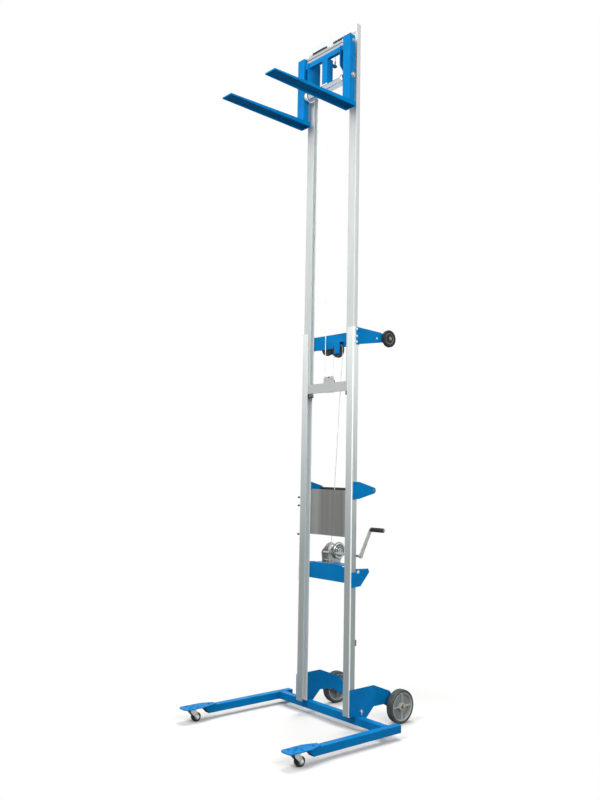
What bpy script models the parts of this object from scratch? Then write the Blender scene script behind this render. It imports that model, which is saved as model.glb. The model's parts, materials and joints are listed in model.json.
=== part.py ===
"""Hand-winched material lift with two forks.

The frame has +Z up, forks and feet towards -Y, and its origin on the floor
under the middle of the lift. All lengths are metres. The lift is modelled
fully raised, as it stands with its forks at the top.
"""

import math

import bmesh
import bpy
from mathutils import Matrix, Vector

# Clearances
SEAT_GAP = 0.0003          # between pieces that touch
RUN_GAP = 0.0003           # radial gap of a running fit
SHEET = 0.004              # blue bracket plate
SIDES = (("left", -1), ("right", 1))

# Fixed mast rails, channels that open towards each other
RAIL_OUTER_X = 0.2285
RAIL_WIDTH = 0.0523
RAIL_FRONT_Y = 0.0965
RAIL_DEPTH = 0.0430
RAIL_WALL = 0.0030
RAIL_CORNER = 0.0040
RAIL_BOTTOM_Z = 0.0810
RAIL_LENGTH = 2.2140
RAIL_TOP_Z = RAIL_BOTTOM_Z + RAIL_LENGTH
RAIL_REAR_Y = RAIL_FRONT_Y + RAIL_DEPTH
RAIL_INNER_X = RAIL_OUTER_X - RAIL_WIDTH
ROPE_Y = RAIL_FRONT_Y + RAIL_DEPTH / 2

# Telescoping mast rails, nested in the fixed ones
MAST_OVERLAP = 0.3930
MAST_SIDE_GAP = 0.0021
MAST_FACE_GAP = 0.0026
MAST_WIDTH = 0.0615
MAST_WALL = 0.0030
MAST_CORNER = 0.0030
MAST_LENGTH = 2.2560
MAST_OUTER_X = RAIL_OUTER_X - RAIL_WALL - MAST_SIDE_GAP
MAST_INNER_X = MAST_OUTER_X - MAST_WIDTH
MAST_FRONT_Y = RAIL_FRONT_Y + RAIL_WALL + MAST_FACE_GAP
MAST_REAR_Y = RAIL_REAR_Y - RAIL_WALL - MAST_FACE_GAP
MAST_BOTTOM_Z = RAIL_TOP_Z - MAST_OVERLAP
MAST_TOP_Z = MAST_BOTTOM_Z + MAST_LENGTH
PAD_HEIGHT = 0.0800
SHOE_HEIGHT = 0.0180
SHOE_FLOOR = 0.0045

# Lower cross bar of the telescoping mast
BAR_RISE = 0.0190
BAR_HEIGHT = 0.0565
BAR_SHEET = 0.0033
BAR_END_GAP = 0.0008
BAR_Z = MAST_BOTTOM_Z + BAR_RISE

# Wire rope and its sheaves
ROPE_RADIUS = 0.0025
SHEAVE_PITCH = 0.0384
SHEAVE_RIM = 0.0061
SHEAVE_WIDTH = 0.0160
SHEAVE_PIN = 0.0060
LOWER_SHEAVE_Z = BAR_Z + 0.0515
TOP_SHEAVE_PITCH = 0.0250
TOP_SHEAVE_DROP = 0.0580

# Base frame
TUBE = 0.0430
TUBE_WALL = 0.0030
TUBE_Z = 0.0338
TUBE_TOP_Z = TUBE_Z + TUBE
LEG_X = 0.4631
LEG_FRONT_Y = -0.4254
LEG_SLANT = 0.0400
LEG_REAR_Y = 0.2496
CROSS_FRONT_GAP = 0.0046
CROSS_Y = RAIL_REAR_Y + CROSS_FRONT_GAP
FOOT_PLATE = 0.0060
FOOT_FRONT_Y = -0.5598
FOOT_REAR_Y = -0.3350
FOOT_SHOULDER_Y = -0.4154
FOOT_WIDTH = 0.0870
FOOT_TAIL_WIDTH = 0.0380
CASTER_Y = -0.4932
CASTER_TRAIL = 0.0300
CASTER_RADIUS = 0.0255
CASTER_WIDTH = 0.0340
CASTER_SHEET = 0.0025

# Rear wheels on the axle brackets
WHEEL_RADIUS = 0.0955
WHEEL_WIDTH = 0.0440
WHEEL_OUTER_X = 0.2960
WHEEL_Y = 0.4643
RIM_RADIUS = 0.0800
AXLE_RADIUS = 0.0080
HUB_RADIUS = 0.0200
BRACKET_BEND_Y = 0.2886
BRACKET_BEND = math.radians(5.0)
BRACKET_TOP_Z = 0.2295
PLATE_X = RAIL_OUTER_X + SEAT_GAP

# Winch bar, winch and crank
WINCH_BAR_Z = 0.8070
WINCH_BAR_HEIGHT = 0.0960
WINCH_SHELF_DEPTH = 0.1050
WINCH_SHELF_LEFT = -0.1500
WINCH_SHELF_RIGHT = 0.1050
CRANK_Y = 0.1560
CRANK_Z = 0.9680
TOOTH_MODULE = 0.0020
PINION_TEETH = 12
GEAR_TEETH = 48
GEAR_ANGLE = math.radians(10.0)
GEAR_WIDTH = 0.0100
DRUM_LEFT_X = -0.0715
DRUM_RIGHT_X = -0.0125
DRUM_RADIUS = 0.0220
DRUM_FLANGE = 0.0400
DRUM_SHAFT = 0.0080
CRANK_SHAFT = 0.0070
CRANK_ARM_X = 0.2440
CRANK_ARM_SHEET = 0.0060
CRANK_LENGTH = 0.1690
CRANK_ANGLE = math.radians(61.8)
GRIP_LENGTH = 0.1000
GRIP_RADIUS = 0.0130

# Cover plate and steering handle
COVER_Z = 1.0670
COVER_HEIGHT = 0.2720
COVER_SHEET = 0.0020
COVER_WIDTH = 0.4000
COVER_SEAT = 0.0500
COVER_SLOPE = 0.0450
COVER_STAND = 0.0120
HANDLE_Y = 0.2711
HANDLE_Z = 1.3412
HANDLE_RADIUS = 0.0095
GUSSET_TIP = 0.0185

# Head bracket with the transport wheels
HEAD_DROP = 0.1050
HEAD_HEIGHT = 0.0850
HEAD_DEPTH = 0.0260
HEAD_Z = RAIL_TOP_Z - HEAD_DROP
HEAD_SHEAVE_X = 2 * SHEAVE_PITCH
HEAD_SHEAVE_Z = HEAD_Z - 0.0200
HEAD_CHEEK_X = 0.0225
HEAD_CHEEK_Y = ROPE_Y - SHEAVE_WIDTH / 2 - SHEET - 0.0005
SPARE_SHEAVE_X = -0.0600
SPARE_SHEAVE_Z = HEAD_Z + 0.0070
LOAD_WHEEL_Y = 0.3751
LOAD_WHEEL_Z = HEAD_Z + 0.0610
LOAD_WHEEL_RADIUS = 0.0520
LOAD_WHEEL_WIDTH = 0.0220
LOAD_AXLE = 0.0060

# Carriage and forks
FORK_DROP = 0.5080
FORK_TOP_Z = MAST_TOP_Z - FORK_DROP
UPRIGHT_INNER_X = 0.1800
UPRIGHT_WIDTH = 0.0610
UPRIGHT_FRONT_Y = 0.0270
UPRIGHT_DEPTH = 0.0420
UPRIGHT_HEIGHT = 0.4133
UPRIGHT_WALL = 0.0030
CARRIAGE_AXLE_Y = 0.0623
FACE_ROLLER_RADIUS = MAST_FRONT_Y - SEAT_GAP - CARRIAGE_AXLE_Y
FACE_ROLLER_X = 0.1530
FACE_ROLLER_WIDTH = 0.0215
FACE_ROLLER_Z = FORK_TOP_Z + 0.1620
LOWER_TUBE_RADIUS = 0.0275
TOP_BAR_Z = FORK_TOP_Z + 0.3750
TOP_BAR_HEIGHT = 0.0370
TOP_BAR_FRONT_Y = 0.0400
TOP_BAR_DEPTH = 0.0250
TOP_BAR_GROOVE = 0.0050
CROSS_BAR_HEIGHT = 0.0317
CROSS_BAR_Z = TOP_BAR_Z - SEAT_GAP - CROSS_BAR_HEIGHT
CARRIAGE_PIN = 0.0060
ANCHOR_DROP = 0.0180
SIDE_PLATE_X = 0.1465
SIDE_PLATE_SHEET = 0.0035
CHANNEL_ROLLER_X = 0.1660
CHANNEL_ROLLER_WIDTH = 0.0460
CHANNEL_ROLLER_Z = FORK_TOP_Z + 0.3500
FORK_INNER_X = 0.1620
FORK_WIDTH = 0.0880
FORK_TIP_Y = -0.5475
FORK_HEEL_Y = 0.0744
FORK_WEB = 0.0045
FORK_DEPTH = 0.0300
FORK_TIP_DEPTH = 0.0090
FORK_WALL = 0.0040

PARTS = None
CUTTERS = None


def make_material(name, colour, roughness, metallic):
    material = bpy.data.materials.new(name)
    material.use_nodes = True
    shader = material.node_tree.nodes["Principled BSDF"]
    shader.inputs["Base Color"].default_value = (*colour, 1.0)
    shader.inputs["Roughness"].default_value = roughness
    shader.inputs["Metallic"].default_value = metallic
    material.diffuse_color = (*colour, 1.0)
    return material


FINISHES = {
    "blue": ((0.0, 0.16, 0.55), 0.45, 0.0),
    "mill": ((0.62, 0.64, 0.62), 0.35, 1.0),
    "plate": ((0.30, 0.30, 0.30), 0.4, 1.0),
    "zinc": ((0.55, 0.56, 0.55), 0.35, 1.0),
    "chrome": ((0.80, 0.82, 0.84), 0.15, 1.0),
    "black": ((0.02, 0.02, 0.02), 0.6, 0.0),
    "tyre": ((0.05, 0.05, 0.05), 0.8, 0.0),
    "rim": ((0.45, 0.46, 0.46), 0.5, 0.0),
    "rope": ((0.60, 0.60, 0.58), 0.4, 1.0),
}


def register(name, mesh, finish):
    """Make a mesh a named sub-part with its own material."""
    piece = bpy.data.objects.new(name, mesh)
    PARTS.objects.link(piece)
    colour, roughness, metallic = FINISHES[finish]
    mesh.materials.clear()
    mesh.materials.append(make_material(name, colour, roughness, metallic))
    return piece


def register_tool(mesh):
    """Make a mesh a body that only cuts or joins."""
    body = bpy.data.objects.new("tool", mesh)
    CUTTERS.objects.link(body)
    body.hide_render = True
    body.display_type = "WIRE"
    return body


def combine(piece, mesh, operation="UNION"):
    """Join a mesh to a piece, or cut it away."""
    modifier = piece.modifiers.new(operation.lower(), "BOOLEAN")
    modifier.operation = operation
    modifier.solver = "EXACT"
    modifier.object = register_tool(mesh)


def cut(piece, mesh):
    combine(piece, mesh, "DIFFERENCE")


def bevel(piece, width, segments=1):
    modifier = piece.modifiers.new("bevel", "BEVEL")
    modifier.width = width
    modifier.segments = segments
    modifier.limit_method = "ANGLE"
    modifier.angle_limit = math.radians(50)


def finish_mesh(shape, name="mesh"):
    bmesh.ops.recalc_face_normals(shape, faces=shape.faces)
    mesh = bpy.data.meshes.new(name)
    shape.to_mesh(mesh)
    shape.free()
    return mesh


def box(low, high):
    low, high = Vector(low), Vector(high)
    shape = bmesh.new()
    bmesh.ops.create_cube(shape, size=1.0)
    bmesh.ops.scale(shape, vec=high - low, verts=shape.verts)
    bmesh.ops.translate(shape, vec=(low + high) / 2, verts=shape.verts)
    return finish_mesh(shape)


def side_box(side, low, high):
    """A box given on the right, placed on the named side."""
    x_low, x_high = sorted((side * low[0], side * high[0]))
    return box((x_low, *low[1:]), (x_high, *high[1:]))


def to_axis(axis):
    """Matrix that turns drawing axes (u, v, depth) to an axis of the lift."""
    rows = {
        "X": ((0, 0, 1, 0), (1, 0, 0, 0), (0, 1, 0, 0), (0, 0, 0, 1)),
        "Y": ((1, 0, 0, 0), (0, 0, 1, 0), (0, 1, 0, 0), (0, 0, 0, 1)),
        "Z": ((1, 0, 0, 0), (0, 1, 0, 0), (0, 0, 1, 0), (0, 0, 0, 1)),
    }
    return Matrix(rows[axis])


def prism(axis, outlines, low, high):
    """Flat outlines, the first the edge and the rest holes, made thick."""
    curve = bpy.data.curves.new("outline", "CURVE")
    curve.dimensions = "2D"
    curve.fill_mode = "BOTH"
    curve.extrude = abs(high - low) / 2
    for outline in outlines:
        spline = curve.splines.new("POLY")
        spline.points.add(len(outline) - 1)
        for point, (u, v) in zip(spline.points, outline):
            point.co = (u, v, 0.0, 1.0)
        spline.use_cyclic_u = True
    drawn = bpy.data.objects.new("outline", curve)
    bpy.context.scene.collection.objects.link(drawn)
    depsgraph = bpy.context.evaluated_depsgraph_get()
    mesh = bpy.data.meshes.new_from_object(drawn.evaluated_get(depsgraph))
    bpy.data.objects.remove(drawn)
    shape = bmesh.new()
    shape.from_mesh(mesh)
    bmesh.ops.remove_doubles(shape, verts=shape.verts, dist=0.00001)
    bmesh.ops.translate(shape, vec=(0, 0, (low + high) / 2), verts=shape.verts)
    bmesh.ops.transform(shape, matrix=to_axis(axis), verts=shape.verts)
    return finish_mesh(shape)


def arc(centre, radius, start, end, steps):
    """Points of a round stretch of an outline, angles in degrees."""
    points = []
    for step in range(steps + 1):
        angle = math.radians(start + (end - start) * step / steps)
        points.append((centre[0] + radius * math.cos(angle),
                       centre[1] + radius * math.sin(angle)))
    return points


def circle(centre, radius, steps=24):
    return arc(centre, radius, 0, 360, steps)[:-1]


def rod(axis, centre, radius, low, high, steps=20):
    """A round bar along an axis, its centre given in the drawing plane."""
    shape = bmesh.new()
    bmesh.ops.create_cone(shape, cap_ends=True, segments=steps, radius1=radius,
                          radius2=radius, depth=abs(high - low))
    bmesh.ops.translate(shape, vec=(centre[0], centre[1], (low + high) / 2), verts=shape.verts)
    bmesh.ops.transform(shape, matrix=to_axis(axis), verts=shape.verts)
    return finish_mesh(shape)


def side_rod(side, centre, radius, low, high, steps=20):
    return rod("X", centre, radius, side * low, side * high, steps)


def turned(name, profile, axis, centre, finish, steps=32):
    """A ring turned about an axis; its profile runs down its outer side."""
    shape = bmesh.new()
    corners = [shape.verts.new((radius, 0.0, along)) for radius, along in profile]
    for first, second in zip(corners, corners[1:] + corners[:1]):
        shape.edges.new((first, second))
    mesh = bpy.data.meshes.new(name)
    shape.to_mesh(mesh)
    shape.free()
    piece = register(name, mesh, finish)
    screw = piece.modifiers.new("turn", "SCREW")
    screw.axis = "Z"
    screw.steps = steps
    screw.render_steps = steps
    screw.use_merge_vertices = True
    screw.merge_threshold = 0.00001
    screw.use_normal_calculate = False
    turn = {"X": Matrix.Rotation(math.pi / 2, 4, "Y"),
            "Y": Matrix.Rotation(-math.pi / 2, 4, "X"),
            "Z": Matrix.Identity(4)}[axis]
    piece.matrix_world = Matrix.Translation(centre) @ turn
    return piece


def sheave_profile(pitch, bore):
    """A grooved wheel whose rope runs at its pitch radius."""
    rim = pitch + SHEAVE_RIM
    root = pitch - ROPE_RADIUS - SEAT_GAP
    half = SHEAVE_WIDTH / 2
    groove = ROPE_RADIUS + SEAT_GAP
    return [(rim, half), (rim, half - 0.0015), (root, groove), (root, -groove),
            (rim, 0.0015 - half), (rim, -half), (bore, -half), (bore, half)]


def channel_outline(side, outer_x, inner_x, front_y, rear_y, wall, corner):
    """A channel section that opens towards the centre plane."""
    points = [(inner_x, front_y), (inner_x, front_y + wall), (outer_x - wall, front_y + wall),
              (outer_x - wall, rear_y - wall), (inner_x, rear_y - wall), (inner_x, rear_y)]
    points += arc((outer_x - corner, rear_y - corner), corner, 90, 0, 4)
    points += arc((outer_x - corner, front_y + corner), corner, 0, -90, 4)
    return [(side * x, y) for x, y in points]


def build_fixed_rails():
    for word, side in SIDES:
        outline = channel_outline(side, RAIL_OUTER_X, RAIL_INNER_X,
                                  RAIL_FRONT_Y, RAIL_REAR_Y, RAIL_WALL, RAIL_CORNER)
        mesh = prism("Z", [outline], RAIL_BOTTOM_Z, RAIL_TOP_Z)
        register(f"outer_rail_{word}", mesh, "mill")
        build_rail_pad(word, side)


def build_rail_pad(word, side):
    """Slippery liner between the two masts, held in the fixed rail's top."""
    outer_x = RAIL_OUTER_X - RAIL_WALL - SEAT_GAP
    front_y = RAIL_FRONT_Y + RAIL_WALL + SEAT_GAP
    rear_y = RAIL_REAR_Y - RAIL_WALL - SEAT_GAP
    wall_x = MAST_SIDE_GAP - 2 * SEAT_GAP
    wall_y = MAST_FACE_GAP - 2 * SEAT_GAP
    points = [(outer_x, front_y), (RAIL_INNER_X, front_y), (RAIL_INNER_X, front_y + wall_y),
              (outer_x - wall_x, front_y + wall_y), (outer_x - wall_x, rear_y - wall_y),
              (RAIL_INNER_X, rear_y - wall_y), (RAIL_INNER_X, rear_y), (outer_x, rear_y)]
    outline = [(side * x, y) for x, y in points]
    mesh = prism("Z", [outline], RAIL_TOP_Z - PAD_HEIGHT, RAIL_TOP_Z)
    register(f"rail_pad_{word}", mesh, "black")


def build_telescoping_rails():
    for word, side in SIDES:
        outline = channel_outline(side, MAST_OUTER_X, MAST_INNER_X,
                                  MAST_FRONT_Y, MAST_REAR_Y, MAST_WALL, MAST_CORNER)
        mesh = prism("Z", [outline], MAST_BOTTOM_Z, MAST_TOP_Z)
        register(f"inner_rail_{word}", mesh, "mill")
        build_shoe(word, side)


def build_shoe(word, side):
    """Black shoe under each telescoping rail, running in the fixed rail."""
    low = (MAST_INNER_X, RAIL_FRONT_Y + RAIL_WALL + SEAT_GAP,
           MAST_BOTTOM_Z - SEAT_GAP - SHOE_FLOOR)
    high = (RAIL_OUTER_X - RAIL_WALL - SEAT_GAP, RAIL_REAR_Y - RAIL_WALL - SEAT_GAP,
            MAST_BOTTOM_Z + SHOE_HEIGHT)
    shoe = register(f"inner_shoe_{word}", side_box(side, low, high), "black")
    pocket_low = (MAST_INNER_X - SHOE_FLOOR, MAST_FRONT_Y - SEAT_GAP, MAST_BOTTOM_Z - SEAT_GAP)
    pocket_high = (MAST_OUTER_X + SEAT_GAP, MAST_REAR_Y + SEAT_GAP,
                   MAST_BOTTOM_Z + 2 * SHOE_HEIGHT)
    cut(shoe, side_box(side, pocket_low, pocket_high))


def ear_outline(x, base_z, top_z, foot, tip):
    """A rounded ear that stands on a bar and holds a sheave's pin."""
    return [(x - foot, base_z), (x + foot, base_z)] + arc((x, top_z - tip), tip, 20, 160, 8)


def build_lower_bar():
    front_y = MAST_FRONT_Y - SEAT_GAP - BAR_SHEET
    back_y = MAST_FRONT_Y - SEAT_GAP
    ear_y = MAST_REAR_Y - BAR_SHEET / 2
    end_x = RAIL_INNER_X - BAR_END_GAP
    shelf_x = MAST_INNER_X - SEAT_GAP
    bar = register("inner_bottom_bar",
                   box((-end_x, front_y, BAR_Z), (end_x, back_y, BAR_Z + BAR_HEIGHT)), "mill")
    combine(bar, box((-shelf_x, front_y + BAR_SHEET / 2, BAR_Z),
                     (shelf_x, ROPE_Y - 0.004, BAR_Z + BAR_SHEET)))
    combine(bar, box((-0.034, front_y + BAR_SHEET / 2, BAR_Z),
                     (0.034, ear_y, BAR_Z + BAR_SHEET)))
    ear_top = LOWER_SHEAVE_Z + SHEAVE_PITCH + SHEAVE_RIM
    front_ear = [(-0.036, BAR_Z + BAR_HEIGHT / 2), (0.066, BAR_Z + BAR_HEIGHT / 2)]
    front_ear += arc((0.042, ear_top - 0.018), 0.018, -10, 120, 8)
    front_ear += [(0.016, ear_top - 0.012)]
    front_ear += arc((-0.012, ear_top - 0.018), 0.018, 60, 190, 8)
    rear_ear = ear_outline(0.0, BAR_Z + BAR_SHEET / 2, ear_top, 0.034, 0.012)
    combine(bar, prism("Y", [front_ear], front_y, back_y))
    combine(bar, prism("Y", [rear_ear], ear_y - BAR_SHEET, ear_y))
    combine(bar, rod("Y", (0.0, LOWER_SHEAVE_Z), SHEAVE_PIN, back_y - BAR_SHEET / 2,
                     ear_y - BAR_SHEET / 2))
    turned("lower_sheave", sheave_profile(SHEAVE_PITCH, SHEAVE_PIN + RUN_GAP), "Y",
           (0.0, ROPE_Y, LOWER_SHEAVE_Z), "black")


def build_top_bar():
    """Cross member over the telescoping rails, with the top sheave in it."""
    front_y = MAST_FRONT_Y - SEAT_GAP - BAR_SHEET
    back_y = MAST_FRONT_Y - SEAT_GAP
    skirt_z = MAST_TOP_Z - 0.0480
    plate_z = MAST_TOP_Z + SEAT_GAP
    sheave_x = TOP_SHEAVE_PITCH - SHEAVE_PITCH
    sheave_z = MAST_TOP_Z - TOP_SHEAVE_DROP
    bar = register("inner_top_bar", box((-MAST_OUTER_X, front_y, skirt_z),
                                        (MAST_OUTER_X, back_y, plate_z + BAR_SHEET)), "mill")
    combine(bar, box((-MAST_OUTER_X, front_y + BAR_SHEET / 2, plate_z),
                     (MAST_OUTER_X, MAST_REAR_Y, plate_z + BAR_SHEET)))
    low_z = sheave_z - SHEAVE_PIN - 0.0100
    for y_low, y_high in ((front_y, back_y), (MAST_REAR_Y - BAR_SHEET, MAST_REAR_Y)):
        tab = [(sheave_x - 0.026, plate_z + BAR_SHEET / 2), (sheave_x - 0.014, low_z),
               (sheave_x + 0.014, low_z), (sheave_x + 0.026, plate_z + BAR_SHEET / 2)]
        combine(bar, prism("Y", [tab], y_low, y_high))
    combine(bar, rod("Y", (sheave_x, sheave_z), SHEAVE_PIN, back_y - BAR_SHEET / 2,
                     MAST_REAR_Y - BAR_SHEET / 2))
    turned("top_sheave", sheave_profile(TOP_SHEAVE_PITCH, SHEAVE_PIN + RUN_GAP), "Y",
           (sheave_x, ROPE_Y, sheave_z), "black")


def build_head_bracket():
    """Channel and two wings behind the fixed rails' tops."""
    web_y = RAIL_REAR_Y + SEAT_GAP
    back_y = web_y + SHEET
    end_x = PLATE_X - SEAT_GAP
    top_z = HEAD_Z + HEAD_HEIGHT
    channel = register("head_channel", box((-end_x, web_y, HEAD_Z), (end_x, back_y, top_z)),
                       "blue")
    combine(channel, box((-end_x, web_y + SHEET / 2, top_z - SHEET),
                         (end_x, web_y + HEAD_DEPTH, top_z)))
    lug = [(HEAD_SHEAVE_X - 0.020, HEAD_Z + SHEET), (HEAD_SHEAVE_X - 0.012, HEAD_SHEAVE_Z - 0.014),
           (HEAD_SHEAVE_X + 0.012, HEAD_SHEAVE_Z - 0.014), (HEAD_SHEAVE_X + 0.020, HEAD_Z + SHEET)]
    combine(channel, prism("Y", [lug], web_y, back_y))
    cheek_low = (HEAD_SHEAVE_X - HEAD_CHEEK_X, HEAD_CHEEK_Y, HEAD_SHEAVE_Z - 0.020)
    cheek_high = (HEAD_SHEAVE_X + HEAD_CHEEK_X, HEAD_CHEEK_Y + SHEET, HEAD_SHEAVE_Z + 0.052)
    combine(channel, box(cheek_low, cheek_high))
    combine(channel, box((cheek_low[0], HEAD_CHEEK_Y + SHEET / 2, cheek_high[2] - SHEET),
                         (cheek_high[0], web_y + SHEET / 2, cheek_high[2])))
    combine(channel, rod("Y", (HEAD_SHEAVE_X, HEAD_SHEAVE_Z), SHEAVE_PIN,
                         HEAD_CHEEK_Y + SHEET / 2, web_y + SHEET / 2))
    combine(channel, rod("Y", (SPARE_SHEAVE_X, SPARE_SHEAVE_Z), SHEAVE_PIN,
                         back_y - SHEET / 2, back_y + SHEAVE_WIDTH + 2 * SHEET))
    profile = sheave_profile(SHEAVE_PITCH, SHEAVE_PIN + RUN_GAP)
    turned("head_sheave_right", profile, "Y", (HEAD_SHEAVE_X, ROPE_Y, HEAD_SHEAVE_Z), "black")
    spare_y = back_y + SHEET + SHEAVE_WIDTH / 2
    turned("head_sheave_left", profile, "Y", (SPARE_SHEAVE_X, spare_y, SPARE_SHEAVE_Z), "black")
    for word, side in SIDES:
        build_head_wing(word, side)


def build_head_wing(word, side):
    front_y = RAIL_FRONT_Y + 0.020
    outline = [(front_y, HEAD_Z), (LOAD_WHEEL_Y - 0.060, HEAD_Z + 0.032)]
    outline += arc((LOAD_WHEEL_Y, LOAD_WHEEL_Z), 0.020, -100, 80, 8)
    outline += [(LOAD_WHEEL_Y - 0.062, HEAD_Z + 0.094), (front_y, RAIL_TOP_Z)]
    x_low, x_high = sorted((side * PLATE_X, side * (PLATE_X + SHEET)))
    wing = register(f"head_wing_{word}", prism("X", [outline], x_low, x_high), "blue")
    for step in range(3):
        spot = (front_y + 0.013, HEAD_Z + 0.020 + 0.0375 * step)
        combine(wing, side_rod(side, spot, 0.006, PLATE_X + SHEET / 2, PLATE_X + 2 * SHEET, 6))
    wheel_x = PLATE_X + SHEET + 0.002
    combine(wing, side_rod(side, (LOAD_WHEEL_Y, LOAD_WHEEL_Z), LOAD_AXLE,
                           PLATE_X + SHEET / 2, wheel_x + LOAD_WHEEL_WIDTH + 0.006))
    half = LOAD_WHEEL_WIDTH / 2
    bore = LOAD_AXLE + RUN_GAP
    profile = [(LOAD_WHEEL_RADIUS - 0.003, half), (LOAD_WHEEL_RADIUS, half - 0.004),
               (LOAD_WHEEL_RADIUS, 0.004 - half), (LOAD_WHEEL_RADIUS - 0.003, -half),
               (0.040, -half), (0.034, 0.004 - half), (0.016, 0.004 - half), (0.014, -half),
               (bore, -half), (bore, half), (0.014, half), (0.016, half - 0.004),
               (0.034, half - 0.004), (0.040, half)]
    turned(f"transport_wheel_{word}", profile, "X",
           (side * (wheel_x + half), LOAD_WHEEL_Y, LOAD_WHEEL_Z), "tyre")


def build_handle():
    for word, side in SIDES:
        front_y = RAIL_FRONT_Y + 0.0085
        outline = [(front_y, HANDLE_Z - 0.052), (front_y + 0.050, HANDLE_Z - 0.048)]
        outline += arc((HANDLE_Y, HANDLE_Z), GUSSET_TIP, -68, 68, 8)
        outline += [(front_y + 0.050, HANDLE_Z + 0.050), (front_y, HANDLE_Z + 0.050)]
        x_low, x_high = sorted((side * PLATE_X, side * (PLATE_X + SHEET)))
        register(f"handle_gusset_{word}", prism("X", [outline], x_low, x_high), "blue")
    end_x = PLATE_X - SEAT_GAP
    register("steering_handle", rod("X", (HANDLE_Y, HANDLE_Z), HANDLE_RADIUS, -end_x, end_x),
             "black")


def build_cover_plate():
    """Bent sheet behind the rails, standing back in the middle."""
    seat_y = RAIL_REAR_Y + SEAT_GAP
    middle_y = seat_y + COVER_STAND
    end_x = COVER_WIDTH / 2
    fold_x = end_x - COVER_SEAT
    flat_x = fold_x - COVER_SLOPE
    path = [(-end_x, seat_y), (-fold_x, seat_y), (-flat_x, middle_y),
            (flat_x, middle_y), (fold_x, seat_y), (end_x, seat_y)]
    shape = bmesh.new()
    corners = [shape.verts.new((x, y, COVER_Z)) for x, y in path]
    edges = [shape.edges.new(pair) for pair in zip(corners, corners[1:])]
    raised = bmesh.ops.extrude_edge_only(shape, edges=edges)["geom"]
    raised = [item for item in raised if isinstance(item, bmesh.types.BMVert)]
    bmesh.ops.translate(shape, vec=(0, 0, COVER_HEIGHT), verts=raised)
    for face in shape.faces:
        face.normal_update()
        if face.normal.y > 0:
            face.normal_flip()
    mesh = bpy.data.meshes.new("cover_plate")
    shape.to_mesh(mesh)
    shape.free()
    plate = register("cover_plate", mesh, "plate")
    solid = plate.modifiers.new("sheet", "SOLIDIFY")
    solid.thickness = COVER_SHEET
    solid.offset = -1.0


def build_winch_bar():
    """Cross bar behind the rails with a shelf for the winch and two wings."""
    web_y = RAIL_REAR_Y + SEAT_GAP
    back_y = web_y + SHEET
    top_z = WINCH_BAR_Z + WINCH_BAR_HEIGHT
    web_x = PLATE_X + SHEET / 2
    bar = register("winch_bar", box((-web_x, web_y, WINCH_BAR_Z), (web_x, back_y, top_z - 0.006)),
                   "blue")
    combine(bar, box((WINCH_SHELF_LEFT, web_y, top_z - 2 * SHEET),
                     (WINCH_SHELF_RIGHT, back_y, top_z)))
    combine(bar, box((WINCH_SHELF_LEFT, web_y + SHEET / 2, top_z - SHEET),
                     (WINCH_SHELF_RIGHT, web_y + WINCH_SHELF_DEPTH, top_z)))
    for _word, side in SIDES:
        front_y = RAIL_FRONT_Y + 0.0045
        outline = [(front_y, WINCH_BAR_Z - 0.015), (front_y + 0.071, WINCH_BAR_Z - 0.010),
                   (front_y + 0.141, WINCH_BAR_Z + 0.066), (front_y + 0.132, WINCH_BAR_Z + 0.0865),
                   (front_y + 0.039, WINCH_BAR_Z + 0.0895), (front_y + 0.037, WINCH_BAR_Z + 0.071),
                   (front_y, WINCH_BAR_Z + 0.071)]
        x_low, x_high = sorted((side * PLATE_X, side * (PLATE_X + SHEET)))
        combine(bar, prism("X", [outline], x_low, x_high))


def gear_outline(centre, teeth, turn):
    """A gear edge with straight-flanked teeth."""
    pitch = TOOTH_MODULE * teeth / 2
    tip = pitch + 0.9 * TOOTH_MODULE
    root = pitch - 1.2 * TOOTH_MODULE
    step = 2 * math.pi / teeth
    points = []
    for tooth in range(teeth):
        middle = turn + tooth * step
        for share, radius in ((-0.32, root), (-0.13, tip), (0.13, tip), (0.32, root)):
            angle = middle + share * step
            points.append((centre[0] + radius * math.cos(angle),
                           centre[1] + radius * math.sin(angle)))
    return points


def gear_centre():
    distance = TOOTH_MODULE * (GEAR_TEETH + PINION_TEETH) / 2
    return (CRANK_Y + distance * math.cos(GEAR_ANGLE), CRANK_Z + distance * math.sin(GEAR_ANGLE))


def build_winch_frame():
    """Two cheek plates on a base, tied by bolts."""
    base_z = WINCH_BAR_Z + WINCH_BAR_HEIGHT + SEAT_GAP
    centre = gear_centre()
    left_x = DRUM_LEFT_X - 0.0035
    right_x = DRUM_RIGHT_X + 0.0005
    frame = register("winch_frame", box((left_x, CRANK_Y - 0.006, base_z),
                                        (right_x + 0.003, 0.240, base_z + 0.003)),
                     "zinc")
    holes = [circle(centre, DRUM_SHAFT + 2 * RUN_GAP), circle((CRANK_Y, CRANK_Z),
                                                             CRANK_SHAFT + 2 * RUN_GAP)]
    cheek = [(CRANK_Y - 0.006, base_z + 0.0015), (0.238, base_z + 0.0015)]
    cheek += arc(centre, 0.0440, -20, 140, 12)
    cheek += arc((CRANK_Y, CRANK_Z), 0.0130, 130, 190, 4)
    for x_low in (left_x, right_x):
        combine(frame, prism("X", [cheek] + holes, x_low, x_low + 0.003))
    for spot in ((0.232, base_z + 0.020), (0.170, base_z + 0.018)):
        combine(frame, rod("X", spot, 0.005, left_x - 0.004, right_x + 0.006, 12))


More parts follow.
